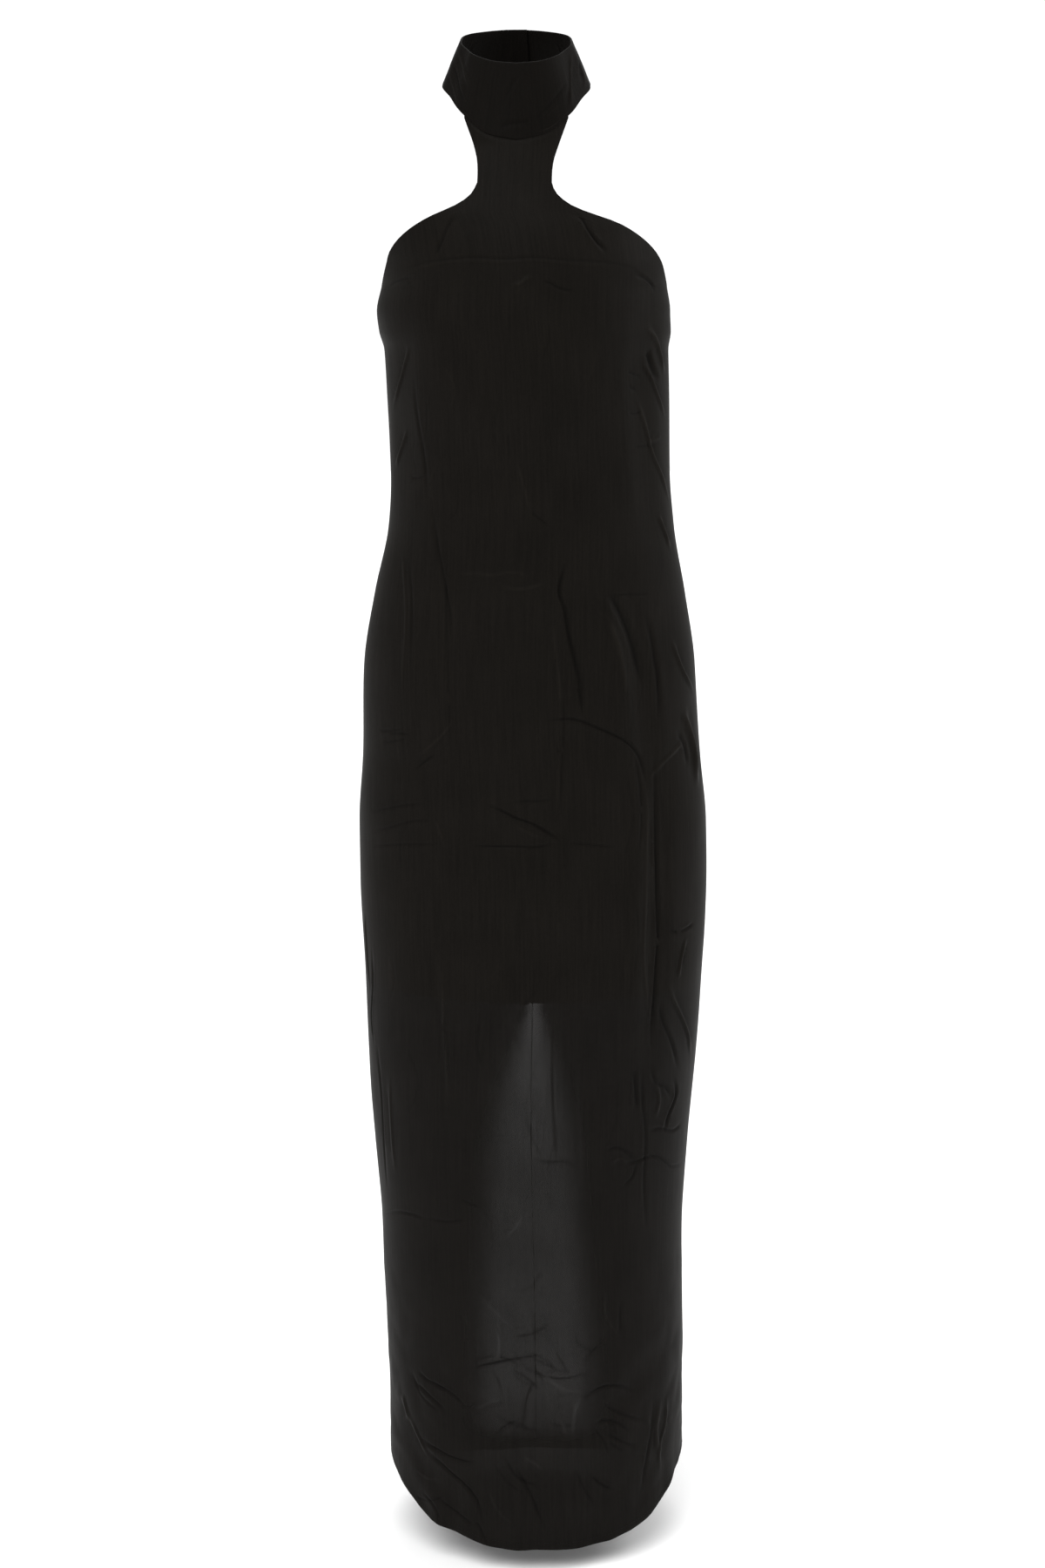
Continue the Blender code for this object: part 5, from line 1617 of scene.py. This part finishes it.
def grain_tree():
    """Tree that sets a rounded grain at each pitch of a curve."""
    tree = bpy.data.node_groups.new("grains along a path", "GeometryNodeTree")
    input_socket(tree, "Geometry", "NodeSocketGeometry")
    tree.interface.new_socket(name="Geometry", in_out="OUTPUT", socket_type="NodeSocketGeometry")
    input_socket(tree, "Pitch", "NodeSocketFloat", 0.003)
    input_socket(tree, "Length", "NodeSocketFloat", 0.002)
    input_socket(tree, "Thickness", "NodeSocketFloat", 0.0004)
    input_socket(tree, "Crosswise", "NodeSocketBool", False)
    input_socket(tree, "Facing", "NodeSocketVector", (0.0, 1.0, 0.0))
    input_socket(tree, "Material", "NodeSocketMaterial")
    given, result = tree.nodes.new("NodeGroupInput"), tree.nodes.new("NodeGroupOutput")

    def node(kind, **links):
        made = tree.nodes.new(kind)
        for socket, source in links.items():
            tree.links.new(source, made.inputs[socket.replace("_", " ")])
        return made

    steps = node("GeometryNodeResampleCurve", Curve=given.outputs["Geometry"])
    steps.mode = "LENGTH"
    tree.links.new(given.outputs["Pitch"], steps.inputs["Length"])
    tangent = node("GeometryNodeInputTangent")
    cross = node("ShaderNodeVectorMath")
    cross.operation = "CROSS_PRODUCT"
    tree.links.new(tangent.outputs["Tangent"], cross.inputs[0])
    tree.links.new(given.outputs["Facing"], cross.inputs[1])
    lie = node("GeometryNodeSwitch", Switch=given.outputs["Crosswise"])
    lie.input_type = "VECTOR"
    tree.links.new(tangent.outputs["Tangent"], lie.inputs["False"])
    tree.links.new(cross.outputs["Vector"], lie.inputs["True"])
    turned = node("FunctionNodeAlignRotationToVector", Vector=lie.outputs["Output"])
    turned.axis = "X"
    grain = node("GeometryNodeMeshIcoSphere")
    grain.inputs["Radius"].default_value = 0.5
    grain.inputs["Subdivisions"].default_value = 1
    size = node(
        "ShaderNodeCombineXYZ", X=given.outputs["Length"], Y=given.outputs["Thickness"],
        Z=given.outputs["Thickness"])
    placed = node(
        "GeometryNodeInstanceOnPoints", Points=steps.outputs["Curve"], Instance=grain.outputs["Mesh"],
        Rotation=turned.outputs["Rotation"], Scale=size.outputs["Vector"])
    real = node("GeometryNodeRealizeInstances", Geometry=placed.outputs["Instances"])
    smooth = node("GeometryNodeSetShadeSmooth", Geometry=real.outputs["Geometry"])
    coloured = node(
        "GeometryNodeSetMaterial", Geometry=smooth.outputs["Geometry"], Material=given.outputs["Material"])
    tree.links.new(coloured.outputs["Geometry"], result.inputs["Geometry"])
    return tree


GRAINS = grain_tree()
print("tree:", GRAINS.name, "with", len(GRAINS.nodes), "nodes")


# %% Sewing along paths
def sew(name, paths, slot, **sizes):
    """Plain mesh of the grains along paths, riding on the dress."""
    curve = bpy.data.curves.new(name, "CURVE")
    curve.dimensions = "3D"
    for points, closed in paths:
        spline = curve.splines.new("POLY")
        spline.points.add(len(points) - 1)
        spline.points.foreach_set("co", np.column_stack((points, np.ones(len(points)))).ravel())
        spline.use_cyclic_u = closed
    guide = bpy.data.objects.new(name + " guide", curve)
    scene.collection.objects.link(guide)
    stitching = guide.modifiers.new("sewing", "NODES")
    stitching.node_group = GRAINS
    for socket in GRAINS.interface.items_tree:
        if socket.in_out == "INPUT" and socket.name in sizes:
            stitching[socket.identifier] = sizes[socket.name]
    evaluated = guide.evaluated_get(bpy.context.evaluated_depsgraph_get())
    mesh = bpy.data.meshes.new_from_object(evaluated)
    mesh.name = name
    bpy.data.objects.remove(guide)
    bpy.data.curves.remove(curve)
    return add_piece(mesh, "dress", slot)


def on_cloth(panel, across, level, proud):
    """Points that lie on a panel's cloth, this far proud of it."""
    form = panel.form(*np.broadcast_arrays(across, level))
    return np.stack(sunk(form, panel_relief(panel, form, across)[0] - proud), axis=-1)


THREAD_PROUD = 0.0001
THREAD_TWIST = 2400.0       # its twists show as specks of this scale
THREAD_TONE = (0.0065, 0.0060, 0.0055)
THREAD_SPREAD = 0.4         # by which its tone varies


def thread(name, colour):
    """Twisted thread, a little lighter and darker along its twist."""
    material, tree, shader = new_material(name)
    twist = speckle(tree, THREAD_TWIST, 2.0)
    dark, light = (tuple(share * c for c in colour) for share in (1 - THREAD_SPREAD, 1 + THREAD_SPREAD))
    set_finish(tree, shader, two_tones(tree, twist, dark, light), twist, (0.40, 0.60), 0.12)
    return material


black_thread = thread("black thread", THREAD_TONE)
print("thread:", black_thread.name)

# %% [markdown]
# ## Hems
# The dress has a narrow turned hem held by a running stitch, 3 mm from stitch to stitch. The lining
# has one of its own.

# %% Hem stitches
HEM_STITCH = 0.0075         # above the edge
LINING_STITCH = 0.0055
row = np.linspace(-0.992, 0.992, 420)
half_row = np.linspace(0.006, 0.992, 220)


def lining_path(panel, across):
    """Points just outside the lining, above its hem."""
    level = np.full(across.shape, LINING_HEM + LINING_STITCH)
    form = panel.form(across, level)
    inset = lining_depth(form, panel.top(across) - level, panel.seed)
    return np.stack(sunk(form, inset - THREAD_PROUD), axis=-1)


hem_rows = [
    on_cloth(panel, across, HEM + HEM_STITCH, THREAD_PROUD)
    for panel, across in ((FRONT, row), (BACK, half_row), (BACK, -half_row))]
hem_rows += [
    lining_path(panel, across)
    for panel, across in ((LINING_FRONT, row), (LINING_LEFT, half_row), (LINING_RIGHT, -half_row))]
hem_stitches = sew(
    "hem_stitches", [(points, False) for points in hem_rows], "crepe_silk", Pitch=0.0032, Length=0.0021,
    Thickness=0.00036, Material=black_thread)
print("hem stitches:", len(hem_stitches.data.polygons), "faces")

# %% [markdown]
# ## The nape
# The collar's ends lap at the nape, where two silk-covered buttons go through buttonholes. A covered
# button is a dome with its cloth gathered in underneath, so its skirt has little folds. Its profile
# is turned round an axis that is square to the leaning band.

# %% Covered buttons
BUTTON_RADIUS = 0.0048
BUTTON_DEPTH = 0.0034
BUTTON_UNDERSIDE = 0.28     # how deep it is underneath, as a share of that
BUTTON_FULLNESS = 0.92      # below 1, its side is fuller than an ellipse
BUTTON_RINGS = 22
BUTTON_SPOKES = 88
BUTTON_GATHERS = 22
GATHER = 0.00013
GATHER_START = 0.25         # share of the dome's height at which the gathers begin
COLLAR_LEAN = math.atan2(COLLAR_BASE[1] - COLLAR_TOP[1], COLLAR[-1].upper - COLLAR[-1].lower)
SQUARE_TO_BAND = Vector((0.0, math.cos(COLLAR_LEAN), math.sin(COLLAR_LEAN)))


def nape_place(up, along=0.0, proud=0.0):
    """Point on the lapped end at the nape: along it to the wearer's left, and proud of it."""
    angle = math.pi - along / (COLLAR_BASE[0] + COLLAR_TOP[0]) * 2
    return Vector(np.ravel(collar_form(np.array([angle]), np.array([up]), np.array([-proud]))))


def button_mesh(name, up):
    """Covered button whose axis leans with the collar."""
    shape = bmesh.new()
    around = [2 * math.pi * k / BUTTON_SPOKES for k in range(BUTTON_SPOKES)]
    rows = []
    for ring in range(1, BUTTON_RINGS):
        dome = math.cos(math.pi * ring / BUTTON_RINGS)
        side = BUTTON_RADIUS * math.sin(math.pi * ring / BUTTON_RINGS) ** BUTTON_FULLNESS
        rise = dome * BUTTON_DEPTH * (1.0 if dome > 0 else BUTTON_UNDERSIDE)
        gather = GATHER * max(0.0, GATHER_START - dome)
        radii = [side + gather * math.cos(BUTTON_GATHERS * a) for a in around]
        rows.append([
            shape.verts.new((out * math.cos(a), rise, out * math.sin(a))) for out, a in zip(radii, around)])
    top = shape.verts.new((0.0, BUTTON_DEPTH, 0.0))
    under = shape.verts.new((0.0, -BUTTON_DEPTH * BUTTON_UNDERSIDE, 0.0))
    for k in range(BUTTON_SPOKES):
        after = (k + 1) % BUTTON_SPOKES
        shape.faces.new((top, rows[0][after], rows[0][k]))
        shape.faces.new((under, rows[-1][k], rows[-1][after]))
        for upper, lower in zip(rows, rows[1:]):
            shape.faces.new((upper[k], upper[after], lower[after], lower[k]))
    bmesh.ops.recalc_face_normals(shape, faces=shape.faces)
    bmesh.ops.rotate(shape, cent=(0, 0, 0), matrix=Matrix.Rotation(COLLAR_LEAN, 3, "X"), verts=shape.verts)
    seat = SQUARE_TO_BAND * (BUTTON_UNDERSIDE * BUTTON_DEPTH + SEAM_GAP)
    bmesh.ops.translate(shape, vec=nape_place(up) + seat, verts=shape.verts)
    mesh = bpy.data.meshes.new(name)
    shape.to_mesh(mesh)
    shape.free()
    mesh.shade_smooth()
    return mesh


print("a covered button:", round(BUTTON_RADIUS * 2000, 1), "mm across")

# %% Buttons in place
BUTTON_SPACING = 0.022


def covered_cloth():
    """Silk pulled tight over a button, on the piece's own place."""
    material, tree, shader = new_material("covered button silk")
    tone, height = crepe_at(tree, own_place(tree))
    colour = two_tones(
        tree, mapped_range(tree, tone, 0.0, 1.0), (0.0028, 0.0023, 0.0018), (0.0055, 0.0046, 0.0038))
    set_finish(tree, shader, colour, tone, (0.44, 0.56), 0.09)
    set_relief(tree, shader, height, 0.00008)
    return material


button_cloth = covered_cloth()
half_spacing = BUTTON_SPACING / 2 / (COLLAR[-1].upper - COLLAR[-1].lower)
BUTTON_UPS = (("upper", 0.5 + half_spacing), ("lower", 0.5 - half_spacing))
for label, up in BUTTON_UPS:
    button = add_piece(button_mesh(f"covered_button_{label}", up), "dress", "covered_button", button_cloth)
    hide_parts(f"nape_button_{label}")
print("buttons:", len(BUTTON_UPS))

# %% Buttonholes
HOLE_HALF = 0.0064          # each slit reaches a little past its button
HOLE_GAP = 0.0008           # the stitches' middle lines, from the slit
HOLE_STEPS = 64


def squared(turn):
    """Place on a rounded square, from -1 to 1 each way."""
    return tuple(math.copysign(abs(v) ** 0.5, v) for v in (math.cos(turn), math.sin(turn)))


def buttonhole_path(up):
    """Closed path of buttonhole stitches round a level slit at the nape."""
    points = []
    for k in range(HOLE_STEPS):
        along, aside = squared(2 * math.pi * k / HOLE_STEPS)
        place = nape_place(up + HOLE_GAP * aside / BAND_HEIGHT, HOLE_HALF * along, THREAD_PROUD)
        points.append(tuple(place))
    return points


buttonholes = sew(
    "buttonhole_stitches", [(buttonhole_path(up), True) for _, up in BUTTON_UPS], "crepe_silk",
    Pitch=0.00042, Length=0.0014, Thickness=0.00040, Crosswise=True, Facing=tuple(SQUARE_TO_BAND),
    Material=black_thread)
print("buttonhole stitches:", len(buttonholes.data.polygons), "faces")

# %% [markdown]
# ## The zip
# A concealed zip closes the centre back. Its coil lies inside, on two tapes that are sewn to the
# seam's turnings, and only the slider and its pull tab show. The slider is at the top: the dress is
# zipped up. The tapes are strips on the back's own form, and the coil is the grain tree again,
# crosswise. The tab is the solid's own shape with its edges softened, so it fits its pin.

# %% Zip tapes
TAPE_WIDTH = 0.0125
TAPE_INSET = 0.0014
TAPE_START = 0.0004         # from the centre seam to the tape
TAPE_BELOW = 0.012          # how far the tape goes on below the zip
TAPE_COLUMNS = 12
TAPE_LEVELS = 120
ZIP_TOP = BACK_TOP - 0.003
WEAVE = 1800.0              # threads to the metre


def tape_mesh(name, side):
    """Tape on one side of the centre back, open sheet facing inwards."""
    places = side * np.linspace(TAPE_START, TAPE_WIDTH, TAPE_COLUMNS) / HALF_ROUND
    levels = np.linspace(ZIP_END - TAPE_BELOW, ZIP_TOP, TAPE_LEVELS)
    grid = panel_grid(flat_run(places), flat_run(levels), no_crease)
    form = back_form(grid.across, grid.level)
    relief = panel_relief(BACK, form, grid.across)[0]
    mesh = cloth_mesh(name, sunk(form, relief + TAPE_INSET), form.round_the_body, form.z, grid.faces)
    if side < 0:
        mesh.flip_normals()
    return mesh


def tape_cloth():
    """Plain-woven tape, on its own map."""
    material, tree, shader = new_material("zip tape")
    weave = tree.nodes.new("ShaderNodeTexChecker")
    weave.inputs["Scale"].default_value = WEAVE
    weave.inputs["Color1"].default_value = (0.0040, 0.0037, 0.0034, 1.0)
    weave.inputs["Color2"].default_value = (0.0085, 0.0079, 0.0073, 1.0)
    tree.links.new(own_map(tree), weave.inputs["Vector"])
    set_finish(tree, shader, weave.outputs["Color"], weave.outputs["Fac"], (0.55, 0.65), 0.12)
    return material


tape_silk = tape_cloth()
for side, label, panel in ((1, "left", back_left_silk), (-1, "right", back_right_silk)):
    tape = add_piece(tape_mesh(f"zip_tape_{label}", side), "dress", "lining_silk", tape_silk)
    print(tape.name, "cloth", round(cloth_area(tape), 5), "m2")

# %% Zip coil
COIL_ASIDE = 0.0007         # from the centre seam
COIL_INSET = 0.0018
COIL_PITCH = 0.0011
COIL_SHORT = 0.002          # it ends this far below the tape's top
COIL_STEPS = 260

coil_levels = np.linspace(ZIP_END, ZIP_TOP - COIL_SHORT, COIL_STEPS)
coil_paths = []
for side in (-1, 1):
    aside = np.full(coil_levels.shape, side * COIL_ASIDE / HALF_ROUND)
    coil_paths.append((on_cloth(BACK, aside, coil_levels, -COIL_INSET), False))
zip_coil = sew(
    "zip_coil", coil_paths, "zip_metal", Pitch=COIL_PITCH, Length=0.0018, Thickness=0.00075,
    Crosswise=True, Facing=(0.0, 1.0, 0.0), Material=black_thread)
print("zip coil:", len(zip_coil.data.polygons), "faces")

# %% Slider and pull tab
METAL_RUB = 420.0           # scale of the worn patches
SHARP = math.radians(50)    # edges sharper than this are rounded
CREASE_ANGLE = math.radians(40)
MERGED = 2e-6                   # corners closer together than this become one
LEVEL_FACES = math.radians(1)   # and so do faces closer in direction than this
HARD_PIECES = (             # node, name, body and bevel of each
    ("zip_slider", "zip_slider_cast", "dress", 0.00025),
    ("zip_pull", "zip_pull_tab", "zip_pull", 0.00018),
)


def dark_metal():
    """Blackened metal, worn a little brighter in patches."""
    material, tree, shader = new_material("blackened zip metal")
    rub = speckle(tree, METAL_RUB, 5.0)
    colour = two_tones(tree, mapped_range(tree, rub, 0.0, 1.0), (0.020, 0.019, 0.018), (0.085, 0.080, 0.074))
    set_finish(tree, shader, colour, rub, (0.44, 0.26), 0.5)
    shader.inputs["Metallic"].default_value = 1.0
    return material


def softened_copy(node, name, bevel):
    """The solid's own mesh with its sharp edges rounded."""
    mesh = bpy.data.objects[node].data.copy()
    mesh.name = name
    mesh.materials.clear()
    shape = bmesh.new()
    shape.from_mesh(mesh)
    bmesh.ops.remove_doubles(shape, verts=shape.verts, dist=MERGED)
    bmesh.ops.dissolve_limit(shape, angle_limit=LEVEL_FACES, verts=shape.verts, edges=shape.edges)
    sharp = [e for e in shape.edges if len(e.link_faces) == 2 and e.calc_face_angle() > SHARP]
    bmesh.ops.bevel(
        shape, geom=sharp, offset=bevel, offset_type="OFFSET", segments=2, profile=0.5,
        affect="EDGES", clamp_overlap=True)
    bmesh.ops.triangulate(shape, faces=[f for f in shape.faces if len(f.verts) > 4])
    shape.to_mesh(mesh)
    shape.free()
    mesh.shade_smooth()
    mesh.set_sharp_from_angle(angle=CREASE_ANGLE)
    return mesh


zip_metal = dark_metal()
for node, name, body, bevel in HARD_PIECES:
    part = add_piece(softened_copy(node, name, bevel), body, "zip_metal", zip_metal)
    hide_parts(node)
    print(name, len(part.data.polygons), "faces")
